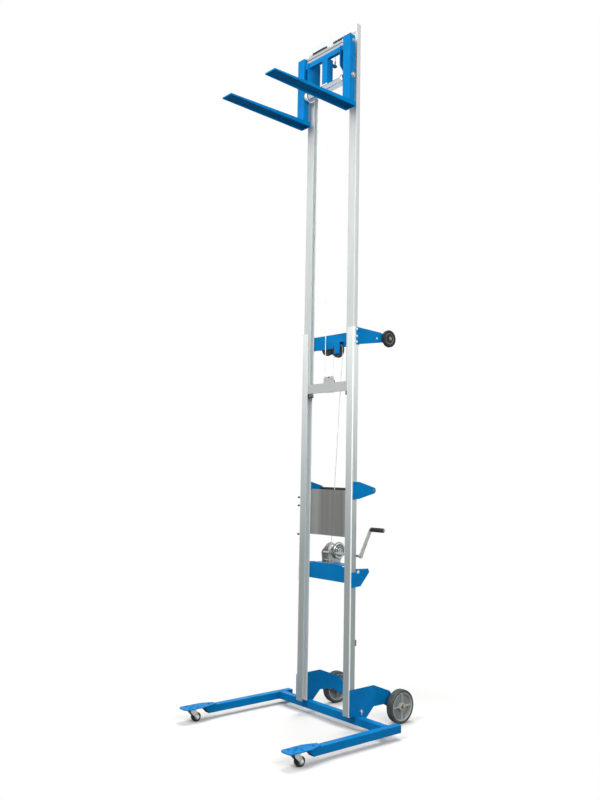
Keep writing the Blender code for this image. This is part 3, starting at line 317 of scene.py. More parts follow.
def extruded(name, colour, rail, rough=0.32, painted_falloff_and_glint=False):
    """Bare extrusion with draw lines along Z, handling marks, and painted light that lightens the
    inside of its channel, where shade falls.

    One with painted falloff also gets painted shade that darkens it towards its lower end, and a
    painted highlight on its outer front corner."""
    finish, tree, shader, coords = blank_finish(name)
    lines = noise(tree, stretched(tree, coords, (1.0, 1.0, 0.006)), 620.0, 3.0, 0.6)
    marks = noise(tree, stretched(tree, coords, (1.0, 1.0, 0.25)), 14.0, 5.0, 0.65)
    base = tones(tree, lines, colour, 0.86, 1.10, 0.30, 0.70)
    base = blend_colours(tree, mask(tree, marks, 0.55, 0.75, 0.5), base, scaled(colour, 0.78))
    channel = inside_of(tree, coords, rail, 0.0015)
    # Painted light: the inside of the channel is lightened where shade falls.
    base = blend_colours(tree, channel, base, scaled(colour, 1.25 if painted_falloff_and_glint else 1.55))
    if painted_falloff_and_glint:
        # Painted shade: darker towards the lower end as light falls off, with a fixed painted
        # shade inside the channel.
        height = spread(tree, axis_of(tree, coords, "Z"), 0.0, 1.0, PAINTED_SHADE_LOW, PAINTED_SHADE_HIGH)
        painted_falloff_shade = ramp(tree, height, 0.0, 1.0, (0.40, 0.425, 0.43), WHITE)
        painted_falloff_shade = blend_colours(tree, channel, painted_falloff_shade, (0.80, 0.82, 0.83))
        base = blend_colours(tree, 1.0, base, painted_falloff_shade, "MULTIPLY")
        # Painted highlight on the outer front corner.
        corner = corner_of(tree, coords, rail, 0.005)
        base = blend_colours(tree, corner, base, (0.86, 0.88, 0.88))
    cover(tree, shader, base, marks, rough, rough + 0.14, 0.20)
    relief(tree, shader, lines, 0.12, 0.0003)
    return finish


def milled(name, colour, metallic=0.30, contrast=0.09, grain_scale=(0.01, 1.0, 1.0), size=800.0,
           fold=0.0):
    """Satin plate with grain one way, and painted light that lightens it beyond the folds at both
    sides.
    """
    finish, tree, shader, coords = blank_finish(name)
    grain = noise(tree, stretched(tree, coords, grain_scale), size, 3.0)
    base = tones(tree, grain, colour, 1.0 - contrast, 1.0 + contrast, 0.3, 0.7)
    if fold:
        # Painted light on the faces beyond the folds.
        painted_fold_light = mask(tree, off_middle(tree, coords), fold, fold + 0.03, 0.6)
        base = blend_colours(tree, painted_fold_light, base, scaled(colour, 1.9))
    cover(tree, shader, base, noise(tree, coords, 12.0), 0.32, 0.46, metallic)
    relief(tree, shader, grain, contrast, 0.0003)
    return finish


def plated(name, colour, rough=0.30):
    """Zinc plating with a cloudy passivated bloom."""
    finish, tree, shader, coords = blank_finish(name)
    bloom = noise(tree, coords, 45.0, 5.0, 0.6)
    base = tones(tree, bloom, colour, 0.82, 1.12)
    cover(tree, shader, base, bloom, rough, rough + 0.16, 0.90)
    relief(tree, shader, noise(tree, coords, 500.0, 2.0), 0.08, 0.0003)
    return finish


def polished(name, colour):
    """Bright ground tube with hair lines round it."""
    finish, tree, shader, coords = blank_finish(name)
    hair = noise(tree, stretched(tree, coords, (1.0, 0.02, 0.02)), 900.0, 2.0)
    base = tones(tree, hair, colour, 0.94, 1.0, 0.3, 0.7)
    cover(tree, shader, base, hair, 0.14, 0.22, 1.0)
    relief(tree, shader, hair, 0.05, 0.0002)
    return finish


def rubber(name, colour):
    """Dull rubber with dust in its pores."""
    finish, tree, shader, coords = blank_finish(name)
    dust = noise(tree, coords, 22.0, 6.0, 0.7)
    base = tones(tree, dust, colour, 1.0, 2.1, 0.40, 0.72)
    cover(tree, shader, base, dust, 0.62, 0.86)
    fill(tree, shader, Specular_IOR_Level=0.22)
    relief(tree, shader, noise(tree, coords, 520.0, 3.0), 0.25, 0.0005)
    return finish


def moulded(name, colour, rough=0.45):
    """Moulded plastic with a fine spark texture."""
    finish, tree, shader, coords = blank_finish(name)
    clouds = noise(tree, coords, 16.0, 3.0)
    base = tones(tree, clouds, colour, 0.85, 1.2)
    cover(tree, shader, base, clouds, rough, rough + 0.14)
    fill(tree, shader, Specular_IOR_Level=0.30)
    relief(tree, shader, noise(tree, coords, 900.0, 2.0), 0.18, 0.0004)
    return finish


def brass(name):
    finish, tree, shader, coords = blank_finish(name)
    tarnish = noise(tree, coords, 160.0, 5.0)
    base = ramp(tree, tarnish, 0.35, 0.65, (0.20, 0.15, 0.09), (0.42, 0.34, 0.22))
    cover(tree, shader, base, tarnish, 0.25, 0.45, 1.0)
    return finish


FINISHES = {}


def mix_finishes():
    """Fills FINISHES: a material and its slot for each name."""
    colours = bpy.context.scene.lift_colours
    blue, rail, zinc, plate, tyre, rim, black = (
        tuple(getattr(colours, name))
        for name in ("enamel", "rail", "plating", "sheet", "tyre", "rim", "grip"))
    FINISHES.update({
        "enamel": (enamel("blue_enamel", blue), "blue_paint"),
        "fork_enamel": (enamel("scuffed_enamel", blue, scuffed=True), "blue_paint"),
        "rail": (extruded("rail_extrusion", scaled(rail, 1.3), "outer_rail_right", painted_falloff_and_glint=True),
                 "mill_metal"),
        "pale_rail": (extruded("upper_rail_extrusion", scaled(rail, 0.92), "inner_rail_right",
                               0.44), "mill_metal"),
        "dull_plate": (milled("dull_plate", scaled(rail, 0.76)), "mill_metal"),
        "plate": (milled("milled_plate", scaled(rail, 1.15)), "mill_metal"),
        "sheet": (milled("cover_sheet", plate, metallic=0.25, contrast=0.12,
                         grain_scale=(1.0, 1.0, 0.03), size=46.0, fold=0.095), "grey_plate"),
        "zinc": (plated("zinc_plating", zinc), "zinc_plated"),
        "dark_zinc": (plated("dark_plating", scaled(zinc, 0.4), 0.4), "zinc_plated"),
        "bright": (polished("ground_tube", (0.56, 0.61, 0.64)), "bright_tube"),
        "rope": (plated("wire_rope_strand", (0.72, 0.72, 0.75), 0.45), "wire_rope"),
        "tyre": (rubber("tyre_rubber", tyre), "rubber_tyre"),
        "small_tyre": (rubber("small_tyre_rubber", scaled(tyre, 0.30)), "rubber_tyre"),
        "rim": (moulded("rim_grey", rim, 0.42), "grey_rim"),
        # Darker grey of the rear rims' web: painted shade in the dish.
        "rim_web_shade": (moulded("rim_web_painted_shade", scaled(rim, 0.55), 0.5), "grey_rim"),
        "black": (moulded("black_moulding", black), "black_plastic"),
        "brass": (brass("axle_brass"), "zinc_plated"),
    })


# Making pieces


def soften(piece, width):
    """Rounds a piece's sharp edges."""
    bevel = piece.modifiers.new("edges", "BEVEL")
    bevel.width = width
    bevel.segments = 2
    bevel.limit_method = "ANGLE"
    bevel.angle_limit = ROUNDED
    bevel.use_clamp_overlap = True


def finished(name, shape, finish):
    """An object with a drawn shape and its finish, and the finish's slot."""
    mesh = bpy.data.meshes.new(name)
    shape.to_mesh(mesh)
    shape.free()
    mesh.shade_smooth()
    mesh.set_sharp_from_angle(angle=SHARP)
    piece = bpy.data.objects.new(name, mesh)
    link(piece)
    material, slot = FINISHES[finish]
    mesh.materials.append(material)
    return piece, slot


def put(name, shape, finish, body, edge=0.0, merge=WELD):
    """Ends a piece: clean mesh, finish, soft edges and the body it rides on."""
    bmesh.ops.remove_doubles(shape, verts=shape.verts, dist=merge)
    bmesh.ops.recalc_face_normals(shape, faces=shape.faces)
    piece, slot = finished(name, shape, finish)
    if edge > 0.0:
        soften(piece, edge)
    if body:
        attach(piece, body)
    return piece


def refined(node, finish, edge=None):
    """A copy of a CAD node with joined faces and rounded edges, in its place."""
    source = frame["nodes"][node]
    shape = bmesh.new()
    shape.from_mesh(source.data)
    bmesh.ops.remove_doubles(shape, verts=shape.verts, dist=WELD)
    bmesh.ops.dissolve_limit(shape, angle_limit=math.radians(2), verts=shape.verts,
                             edges=shape.edges, delimit={"NORMAL"})
    piece, slot = finished(node + "_piece", shape, finish)
    soften(piece, bpy.context.scene.lift_sizes.edge if edge is None else edge)
    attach(piece, source["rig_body"])
    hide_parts(node)
    return piece


def wheel_size(node, axis="x"):
    """The middle of a wheel, its radius and half its width along its axle."""
    low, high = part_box(node)
    return (low + high) / 2, (high.z - low.z) / 2, (getattr(high, axis) - getattr(low, axis)) / 2


def mirrored(outer, inner, between=()):
    """A closed section from the points of its upper half."""
    flip = [(radius, -along) for radius, along in outer + inner]
    count = len(outer)
    return [*outer, *between, *flip[:count][::-1], *flip[count:], *inner[::-1]]


def annulus(inner, outer, low, high):
    return [(outer, low), (outer, high), (inner, high), (inner, low)]


AXES = {
    "X": Matrix(((0, 0, 1), (1, 0, 0), (0, 1, 0))),
    "Y": Matrix(((1, 0, 0), (0, 0, 1), (0, 1, 0))),
    "Z": Matrix(((1, 0, 0), (0, 1, 0), (0, 0, 1))),
}


def place(shape, verts, axis, centre):
    """Turns new vertices from a drawing on Z to an axis, then moves them."""
    turn = AXES[axis].to_4x4()
    bmesh.ops.transform(shape, matrix=Matrix.Translation(centre) @ turn, verts=verts)


def add_bar(shape, low, high):
    made = bmesh.ops.create_cube(shape, size=1.0)["verts"]
    low, high = Vector(low), Vector(high)
    bmesh.ops.scale(shape, vec=high - low, verts=made)
    bmesh.ops.translate(shape, vec=(low + high) / 2, verts=made)
    return made


def add_round(shape, axis, centre, radius, length, steps=32, tip=None):
    """A round bar that starts at its centre and runs along the axis."""
    tip = radius if tip is None else tip
    made = bmesh.ops.create_cone(shape, cap_ends=True, segments=steps, radius1=radius,
                                 radius2=tip, depth=abs(length))["verts"]
    if length < 0:
        turn = Matrix.Rotation(math.pi, 3, "X")
        bmesh.ops.rotate(shape, verts=made, cent=(0, 0, 0), matrix=turn)
    bmesh.ops.translate(shape, vec=(0, 0, length / 2), verts=made)
    place(shape, made, axis, centre)


def add_ring(shape, axis, centre, profile, steps=56):
    """A closed section of (radius, along) points spun about the axis."""
    corners = [shape.verts.new((radius, 0.0, along)) for radius, along in profile]
    edges = [shape.edges.new(pair) for pair in zip(corners, corners[1:] + corners[:1])]
    known = set(shape.verts) - set(corners)
    bmesh.ops.spin(shape, geom=corners + edges, cent=(0, 0, 0), axis=(0, 0, 1), dvec=(0, 0, 0),
                   angle=2 * math.pi, steps=steps, use_merge=True, use_duplicate=False)
    made = [vert for vert in shape.verts if vert not in known]
    place(shape, made, axis, centre)


def add_bolt(shape, axis, centre, out, size=None, height=None, washer=0.0012):
    """A hex head on a washer; out is +1 or -1 along the axis."""
    sizes = bpy.context.scene.lift_sizes
    size = size or sizes.bolt
    height = height or sizes.bolt_height
    if washer:
        add_round(shape, axis, centre, size * 0.72, out * washer, 28)
    start = Vector(centre) + AXES[axis] @ Vector((0, 0, out * washer))
    add_round(shape, axis, start, size / 2, out * height * 0.8, 6)
    cap = start + AXES[axis] @ Vector((0, 0, out * height * 0.8))
    add_round(shape, axis, cap, size * 0.46, out * height * 0.2, 6, size * 0.38)


def add_seated_bolt(shape, spot, out, disc, size, height):
    """A hex head along X on a plain disc of (radius, thickness, steps)."""
    radius, thickness, steps = disc
    add_round(shape, "X", spot, radius, out * thickness, steps)
    add_bolt(shape, "X", (spot[0] + out * thickness, *spot[1:]), out, size, height, 0.0)


def add_plate(shape, axis, outline, low, high):
    """A flat outline of (u, v) points drawn out between two depths."""
    corners = [shape.verts.new((u, v, low)) for u, v in outline]
    face = shape.faces.new(corners)
    raised = bmesh.ops.extrude_face_region(shape, geom=[face])["geom"]
    top = [item for item in raised if isinstance(item, bmesh.types.BMVert)]
    bmesh.ops.translate(shape, vec=(0, 0, high - low), verts=top)
    place(shape, corners + top, axis, (0, 0, 0))


def arc(centre, radius, start, end, steps):
    points = []
    for step in range(steps + 1):
        angle = math.radians(start + (end - start) * step / steps)
        points.append((centre[0] + radius * math.cos(angle),
                       centre[1] + radius * math.sin(angle)))
    return points


def rope_mesh(name, points, radius, lay):
    """Twisted strands swept along a path."""
    section = bpy.data.curves.new(name + "_section", "CURVE")
    section.dimensions = "2D"
    lobes = section.splines.new("POLY")
    lobes.points.add(2 * STRANDS - 1)
    for step, point in enumerate(lobes.points):
        reach = radius if step % 2 == 0 else radius * 0.78
        angle = step * math.pi / STRANDS
        point.co = (reach * math.cos(angle), reach * math.sin(angle), 0.0, 1.0)
    lobes.use_cyclic_u = True
    profile = bpy.data.objects.new(name + "_section", section)
    curve = bpy.data.curves.new(name, "CURVE")
    curve.dimensions = "3D"
    curve.bevel_mode = "OBJECT"
    curve.bevel_object = profile
    curve.use_fill_caps = True
    curve.twist_mode = "MINIMUM"
    spline = curve.splines.new("POLY")
    path = even_path(points, lay / 7)
    spline.points.add(len(path) - 1)
    travelled = 0.0
    for index, point in enumerate(spline.points):
        if index:
            travelled += (path[index] - path[index - 1]).length
        point.co = (*path[index], 1.0)
        point.tilt = 2 * math.pi * travelled / lay
    drawn = bpy.data.objects.new(name, curve)
    link(profile)
    link(drawn)
    depsgraph = bpy.context.evaluated_depsgraph_get()
    mesh = bpy.data.meshes.new_from_object(drawn.evaluated_get(depsgraph))
    for item in (profile, drawn):
        bpy.data.objects.remove(item)
    return mesh


def even_path(points, step):
    """Points at an even spacing along straight stretches."""
    points = [Vector(point) for point in points]
    path = [points[0]]
    for first, second in zip(points, points[1:]):
        count = max(1, round((second - first).length / step))
        path += [first.lerp(second, part / count) for part in range(1, count + 1)]
    return path


def put_rope(name, points, body=None):
    sizes = bpy.context.scene.lift_sizes
    shape = bmesh.new()
    shape.from_mesh(rope_mesh(name, points, sizes.rope, sizes.lay))
    return put(name, shape, "rope", body)


def sheave_wrap(name, node, body, start, end, pitch):
    """Rope lying in a sheave's groove between two angles."""
    centre = middle(node)
    path = [(x, centre.y, z) for x, z in arc((centre.x, centre.z), pitch, start, end, 28)]
    return put_rope(name, path, body)


def put_bead(name, corners, radius, body, ripple=0.0):
    """A weld's beads along a path, with every second one flatter."""
    shape = bmesh.new()
    for index, point in enumerate(even_path(corners, BEAD_STEP)):
        made = bmesh.ops.create_icosphere(shape, subdivisions=1, radius=radius)["verts"]
        flat = 1.0 - ripple * (1 - index % 2)
        bmesh.ops.scale(shape, vec=(1.0, 1.0, flat), verts=made)
        bmesh.ops.translate(shape, vec=point, verts=made)
    put(name, shape, "enamel", body, merge=0.0)


# Operators


class LIFT_OT_stage(bpy.types.Operator):
    """Floor, soft light and camera"""

    bl_idname = "lift.stage"
    bl_label = "Stage"

    def execute(self, context):
        scene = context.scene
        scene.view_settings.view_transform = "Standard"
        self.floor()
        self.world(scene)
        self.lamps()
        self.camera(scene)
        return {"FINISHED"}

    def floor(self):
        shape = bmesh.new()
        bmesh.ops.create_circle(shape, cap_ends=True, segments=96, radius=30.0)
        mesh = bpy.data.meshes.new("floor")
        shape.to_mesh(mesh)
        shape.free()
        floor = bpy.data.objects.new("floor", mesh)
        link(floor)
        floor.location = (0.0, 0.0, -0.0005)
        finish, tree, shader, coords = blank_finish("pale_floor")
        distance = add_node(tree, "VectorMath", Vector=coords)
        distance.operation = "LENGTH"
        fade = add_node(tree, "MapRange", Value=distance.outputs["Value"],
                        From_Min=FLOOR_FADE[0], From_Max=FLOOR_FADE[1])
        fade.interpolation_type = "SMOOTHSTEP"
        seen = seen_rays(tree)
        fill(tree, shader, Base_Color=blend_colours(tree, seen, FLOOR_UNSEEN, FLOOR_SEEN),
             Roughness=0.9, Specular_IOR_Level=0.0)
        white = add_node(tree, "Emission", Color=WHITE)
        factor = math_node(tree, "MULTIPLY", fade.outputs["Result"], seen)
        self.mix(tree, factor, shader.outputs["BSDF"], white.outputs["Emission"],
                 "Material Output")
        mesh.materials.append(finish)

    def mix(self, tree, factor, first, second, output):
        """Sends two mixed shaders to an output."""
        mix = tree.nodes.new("ShaderNodeMixShader")
        for value, socket in zip((factor, first, second), mix.inputs):
            tree.links.new(value, socket)
        tree.links.new(mix.outputs["Shader"], tree.nodes[output].inputs["Surface"])

    def world(self, scene):
        world = bpy.data.worlds.new("soft_room")
        world.use_nodes = True
        scene.world = world
        tree = world.node_tree
        room = fill(tree, tree.nodes["Background"], Color=ROOM_COLOUR, Strength=ROOM_STRENGTH)
        white = add_node(tree, "Background", Color=WHITE, Strength=1.0)
        self.mix(tree, seen_rays(tree), room.outputs["Background"], white.outputs["Background"],
                 "World Output")

    def lamps(self):
        for name, spot, target, size, power in LAMPS:
            lamp = bpy.data.lights.new(name, "AREA")
            lamp.shape = "DISK"
            lamp.size = size
            lamp.energy = power
            lamp.color = LAMP_COLOUR
            holder = bpy.data.objects.new(name, lamp)
            holder.location = spot
            aim = Vector(target) - Vector(spot)
            holder.rotation_euler = aim.to_track_quat("-Z", "Y").to_euler()
            link(holder)

    def camera(self, scene):
        data = bpy.data.cameras.new("camera")
        data.lens, data.sensor_width = CAMERA_LENS, CAMERA_SENSOR
        data.shift_x, data.shift_y = CAMERA_SHIFT
        holder = bpy.data.objects.new("camera", data)
        yaw, pitch, roll = (math.radians(turn) for turn in CAMERA_TURNS)
        ahead = Vector((math.sin(yaw) * math.cos(pitch), math.cos(yaw) * math.cos(pitch),
                        math.sin(pitch)))
        right = Vector((math.cos(yaw), -math.sin(yaw), 0.0))
        above = right.cross(ahead)
        rolled = math.cos(roll) * right + math.sin(roll) * above
        raised = math.cos(roll) * above - math.sin(roll) * right
        turn = Matrix((rolled, raised, -ahead)).transposed()
        holder.matrix_world = Matrix.Translation(CAMERA_PLACE) @ turn.to_4x4()
        link(holder)
        scene.camera = holder


class LIFT_OT_masts(bpy.types.Operator):
    """Rails, slide pads and cross bars of both masts"""

    bl_idname = "lift.masts"
    bl_label = "Masts"

    def execute(self, context):
        for word, _side in SIDES:
            refined(f"outer_rail_{word}", "rail", 0.0006)
            refined(f"inner_rail_{word}", "pale_rail", 0.0006)
            refined(f"rail_pad_{word}", "black", 0.0003)
            refined(f"inner_shoe_{word}", "black")
        refined("inner_bottom_bar", "dull_plate")
        refined("inner_top_bar", "plate")
        self.rail_studs()
        self.latch()
        self.painted_shade_strip()
        self.bar_screws()
        return {"FINISHED"}

    def rail_studs(self):
        """Capped studs on the left rail's outer side."""
        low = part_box("outer_rail_left")[0]
        y, reach = low.y + 0.0085, 0.0160
        shape = bmesh.new()
        for z in (1.062, 1.236, 1.286):
            add_round(shape, "X", (low.x, y, z), 0.0040, -reach, 20)
            add_round(shape, "X", (low.x - reach, y, z), 0.0060, -0.0090, 24, 0.0050)
        put("rail_studs", shape, "black", "base_mast", 0.0003)

    def latch(self):
        """Small catch behind the right rail that holds the crank's grip."""
        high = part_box("outer_rail_right")[1]
        shape = bmesh.new()
        add_bar(shape, (high.x - 0.0145, high.y, 0.466), (high.x - 0.0005, high.y + 0.0100, 0.500))
        put("rail_catch", shape, "dark_zinc", "base_mast", 0.0015)

    def painted_shade_strip(self):
        """Black strip under the top bar, notched round the sheave: painted shade under the top
        bar.
        """
        skirt_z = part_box("inner_rail_right")[1].z - 0.0480
        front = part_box("inner_top_bar")[0].y
        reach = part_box("outer_rail_right")[0].x - 0.0007
        sheave_x, notch = middle("top_sheave").x, 0.032
        shape = bmesh.new()
        for low_x, high_x in ((-reach, sheave_x - notch), (sheave_x + notch, reach)):
            add_bar(shape, (low_x, front - 0.0080, skirt_z - 0.0160),
                    (high_x, front - 0.0002, skirt_z + 0.0090))
        put("top_bar_painted_shade", shape, "black", "inner_mast", 0.0010)

    def bar_screws(self):
        low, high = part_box("inner_bottom_bar")
        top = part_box("inner_top_bar")[0]
        shape = bmesh.new()
        for x in (-0.012, 0.042):
            add_round(shape, "Y", (x, low.y, high.z - 0.018), 0.0080, -0.0014, 24, 0.0070)
        spots = [(x, low.y, low.z + rise) for x in (-0.155, 0.155) for rise in (0.014, 0.042)]
        spots += [(x, top.y, top.z + 0.030) for x in (-0.200, -0.182, 0.182, 0.200)]
        for spot in spots:
            add_round(shape, "Y", spot, 0.0045, -0.0014, 20, 0.0036)
        put("mast_bar_screws", shape, "zinc", "inner_mast", 0.0002)


class LIFT_OT_carriage(bpy.types.Operator):
    """Carriage frame, its bars and rollers"""

    bl_idname = "lift.carriage"
    bl_label = "Carriage"

    def execute(self, context):
        refined("carriage_frame", "enamel", 0.0009)
        refined("carriage_lower_bar", "bright", 0.0006)
        refined("carriage_top_bar", "bright", 0.0006)
        for word, side in SIDES:
            refined(f"channel_roller_{word}", "black", 0.0004)
            self.face_roller(word)
            self.axle_heads(word, side)
            self.weld(word, side)
        self.painted_groove_shade()
        return {"FINISHED"}

    def painted_groove_shade(self):
        """Black strip lying in the top bar's groove: painted shade in the groove."""
        low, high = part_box("carriage_top_bar")
        middle_z, half = (low.z + high.z) / 2, 0.0026
        shape = bmesh.new()
        add_bar(shape, (low.x + 0.001, low.y + 0.0002, middle_z - half),
                (high.x - 0.001, low.y + 0.0046, middle_z + half))
        put("top_bar_groove_painted_shade", shape, "black", "carriage", 0.0004)

    def face_roller(self, word):
        node = f"face_roller_{word}"
        centre, radius, half = wheel_size(node)
        shape = bmesh.new()
        add_ring(shape, "X", centre, mirrored(
            [(radius - 0.002, half), (radius, half - 0.003)],
            [(radius - 0.010, half), (radius - 0.013, half - 0.003), (0.016, half - 0.003),
             (0.015, half), (PIN_BORE, half)]))
        piece = put(f"{node}_piece", shape, "bright", node, 0.0004)
        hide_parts(node)
        # Blue enamel rings on both faces of the roller: painted reflection of the blue forks.
        cap = bmesh.new()
        for out in (-1, 1):
            add_ring(cap, "X", centre,
                     annulus(0.0086, 0.0148, out * (half - 0.0028), out * half), 40)
            add_ring(cap, "X", centre, annulus(0.0165, radius - 0.0135, out * (half - 0.0031),
                                               out * (half - 0.0010)))
        put(f"{node}_cap", cap, "enamel", node, 0.0003)

    def axle_heads(self, word, side):
        """Nuts of the roller axle on the upright's outer side."""
        face = outer_face("carriage_frame", side)
        axle, top = middle("carriage_lower_bar"), middle("carriage_top_bar")
        y, washer = axle.y - 0.008, 0.0018
        shape = bmesh.new()
        add_round(shape, "X", (face, y, axle.z), 0.0150, side * washer, 32)
        add_bolt(shape, "X", (face + side * washer, y, axle.z), side, 0.022, 0.009)
        add_bolt(shape, "X", (face, y, top.z - 0.012), side, 0.014, 0.006)
        put(f"axle_heads_{word}", shape, "zinc", "carriage", 0.0003)

    def weld(self, word, side):
        """Bead where the upright stands on the fork."""
        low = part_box("carriage_frame")[0]
        x_in, x_out, rear = side * 0.180, side * 0.241, low.y + 0.042
        corners = ((x_in, low.y), (x_out, low.y), (x_out, rear), (x_in, rear), (x_in, low.y))
        put_bead(f"upright_weld_{word}", [(x, y, low.z + 0.0004) for x, y in corners], 0.0022,
                 "carriage", 0.1)


class LIFT_OT_forks(bpy.types.Operator):
    """The two forks"""

    bl_idname = "lift.forks"
    bl_label = "Forks"

    def execute(self, context):
        for word, _side in SIDES:
            refined(f"fork_{word}", "fork_enamel", 0.0012)
        return {"FINISHED"}


class LIFT_OT_head(bpy.types.Operator):
    """Head channel, its wings, bolts and transport wheels"""

    bl_idname = "lift.head"
    bl_label = "Head bracket"

    def execute(self, context):
        refined("head_channel", "enamel")
        for word, side in SIDES:
            refined(f"head_wing_{word}", "enamel")
            self.transport_wheel(word, side)
            self.wing_bolts(word, side)
        return {"FINISHED"}

    def wing_bolts(self, word, side):
        """Bolts of the wing on the rail, and one in the wing's middle."""
        low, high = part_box(f"head_wing_{word}")
        face = outer_face(f"outer_rail_{word}", side) + side * 0.0043
        rail = middle(f"outer_rail_{word}")
        shape = bmesh.new()
        for z in (low.z + 0.016, low.z + 0.050, high.z - 0.014):
            add_bolt(shape, "X", (face, rail.y, z), side, 0.011, 0.0045)
        add_bolt(shape, "X", (face, 0.286, low.z + 0.054), side, 0.009, 0.0035)
        put(f"wing_bolts_{word}", shape, "plate", "base_mast", 0.0003)

    def transport_wheel(self, word, side):
        node = f"transport_wheel_{word}"
        centre, radius, half = wheel_size(node)
        tyre, hub, core, nut = (bmesh.new() for _shape in range(4))
        add_ring(tyre, "X", centre, mirrored(
            [(radius - 0.0035, half), (radius - 0.0008, half - 0.003), (radius, half - 0.006)],
            [(0.0365, half), (0.0350, half - 0.002)]))
        piece = put(f"transport_tyre_{word}", tyre, "small_tyre", node, 0.0004)
        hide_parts(node)
        add_ring(hub, "X", centre, [
            (0.0348, half - 0.003), (0.0348, 0.003 - half), (0.030, 0.003 - half),
            (0.028, 0.006 - half), (0.0281, half - 0.006), (0.030, half - 0.003)])
        put(f"transport_rim_{word}", hub, "dark_zinc", node, 0.0004)
        add_ring(core, "X", centre, mirrored(
            [(0.0279, half - 0.007)], [(0.016, half - 0.007), (0.014, half), (PIN_BORE, half)]))
        put(f"transport_hub_{word}", core, "black", node, 0.0004)
        end = outer_face(node, side) + side * 0.0010
        add_bolt(nut, "X", (end, centre.y, centre.z), side, 0.017, 0.0045)
        put(f"transport_nut_{word}", nut, "brass", "base_mast", 0.0003)


class LIFT_OT_rope(bpy.types.Operator):
    """Wire rope, its sheaves and its ends"""

    bl_idname = "lift.rope"
    bl_label = "Rope and sheaves"

    def execute(self, context):
        for node in ("lower_sheave", "top_sheave", "head_sheave_left", "head_sheave_right"):
            self.sheave(node)
        self.strands()
        self.wraps()
        self.ends()
        return {"FINISHED"}

    def sheave(self, node):
        centre, rim, half = wheel_size(node, "y")
        seat = 0.0028
        root = rim - ROPE_SEAT - seat
        groove = [(root + seat - seat * math.cos(math.radians(turn)),
                   seat * math.sin(math.radians(turn))) for turn in (60, 30, 0, -30, -60)]
        shape = bmesh.new()
        add_ring(shape, "Y", centre, mirrored(
            [(rim - 0.0006, half), (rim, half - 0.0010)],
            [(root - 0.003, half), (root - 0.005, half - 0.003), (0.012, half - 0.003),
             (0.011, half), (PIN_BORE, half)], groove))
        piece = put(f"{node}_piece", shape, "black", frame["nodes"][node]["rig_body"], 0.0002)
        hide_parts(node)

    def strands(self):
        lower, top = middle("lower_sheave"), middle("top_sheave")
        head = middle("head_sheave_right")
        pitch = head.x / 2
        y = lower.y
        mast = put_rope("rope_mast", [(-pitch, y, lower.z), (-pitch, y, top.z)], "inner_mast")
        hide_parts("cable_mast")
        low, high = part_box("cable_carriage")
        x = (low.x + high.x) / 2
        start, end = (x, y, top.z), (x, y, low.z)
        hang = put_rope("rope_carriage", [start, end])
        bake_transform(hang)
        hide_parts("cable_carriage")
        start, end = (pitch, y, head.z), (pitch, y, lower.z)
        lift = put_rope("rope_lift", [start, end])
        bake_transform(lift)
        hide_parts("cable_lift")
        low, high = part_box("cable_winch")
        edge = bpy.context.scene.lift_sizes.rope
        foot = (low.x + edge, high.y - edge, low.z + edge)
        lead = put_rope("rope_winch", [foot, (3 * pitch, y, head.z)], "base_mast")
        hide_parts("cable_winch")

    def wraps(self):
        pitch = middle("head_sheave_right").x / 2
        small = wheel_size("top_sheave")[1] - ROPE_SEAT
        sheave_wrap("rope_on_lower_sheave", "lower_sheave", "inner_mast", 180, 360, pitch)
        sheave_wrap("rope_on_head_sheave", "head_sheave_right", "base_mast", 0, 180, pitch)
        sheave_wrap("rope_on_top_sheave", "top_sheave", "inner_mast", 0, 180, small)

    def ends(self):
        """Sleeve where the rope meets the carriage."""
        spot = middle("cable_carriage")
        spot.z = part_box("cable_carriage")[0].z + 0.001
        shape = bmesh.new()
        add_round(shape, "Z", spot, 0.0048, 0.028, 20)
        add_round(shape, "Z", spot, 0.0068, 0.006, 6)
        put("rope_sleeve", shape, "zinc", "carriage", 0.0004)


class LIFT_OT_cover(bpy.types.Operator):
    """Cover plate and its screws"""

    bl_idname = "lift.cover"
    bl_label = "Cover plate"

    def execute(self, context):
        refined("cover_plate", "sheet", 0.0003)
        low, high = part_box("cover_plate")
        shape = bmesh.new()
        for _word, side in SIDES:
            for z in (low.z + 0.030, high.z - 0.030):
                add_bolt(shape, "Y", (side * 0.185, low.y + 0.0020, z), 1, 0.010, 0.004)
        put("cover_screws", shape, "zinc", "base_mast", 0.0002)
        return {"FINISHED"}


class LIFT_OT_handle(bpy.types.Operator):
    """Steering handle between its gussets"""

    bl_idname = "lift.handle"
    bl_label = "Steering handle"

    def execute(self, context):
        refined("steering_handle", "black", 0.0004)
        rod, washer = middle("steering_handle"), 0.0012
        for word, side in SIDES:
            refined(f"handle_gusset_{word}", "enamel")
            face = outer_face(f"handle_gusset_{word}", side)
            shape = bmesh.new()
            add_round(shape, "X", (face, rod.y, rod.z), 0.0085, side * washer, 28)
            add_round(shape, "X", (face + side * washer, rod.y, rod.z), 0.0062, side * 0.003, 24,
                      0.0045)
            put(f"handle_screw_{word}", shape, "dark_zinc", "base_mast", 0.0003)
        return {"FINISHED"}


class LIFT_OT_winch_bar(bpy.types.Operator):
    """Cross bar that carries the winch"""

    bl_idname = "lift.winch_bar"
    bl_label = "Winch bar"

    def execute(self, context):
        refined("winch_bar", "enamel")
        low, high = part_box("winch_bar")
        shape = bmesh.new()
        for _word, side in SIDES:
            add_seated_bolt(shape, (side * high.x, low.y + 0.050, high.z - 0.024), side,
                            (0.0090, 0.0015, 28), 0.012, 0.004)
        put("winch_bar_bolts", shape, "plate", "base_mast", 0.0003)
        return {"FINISHED"}


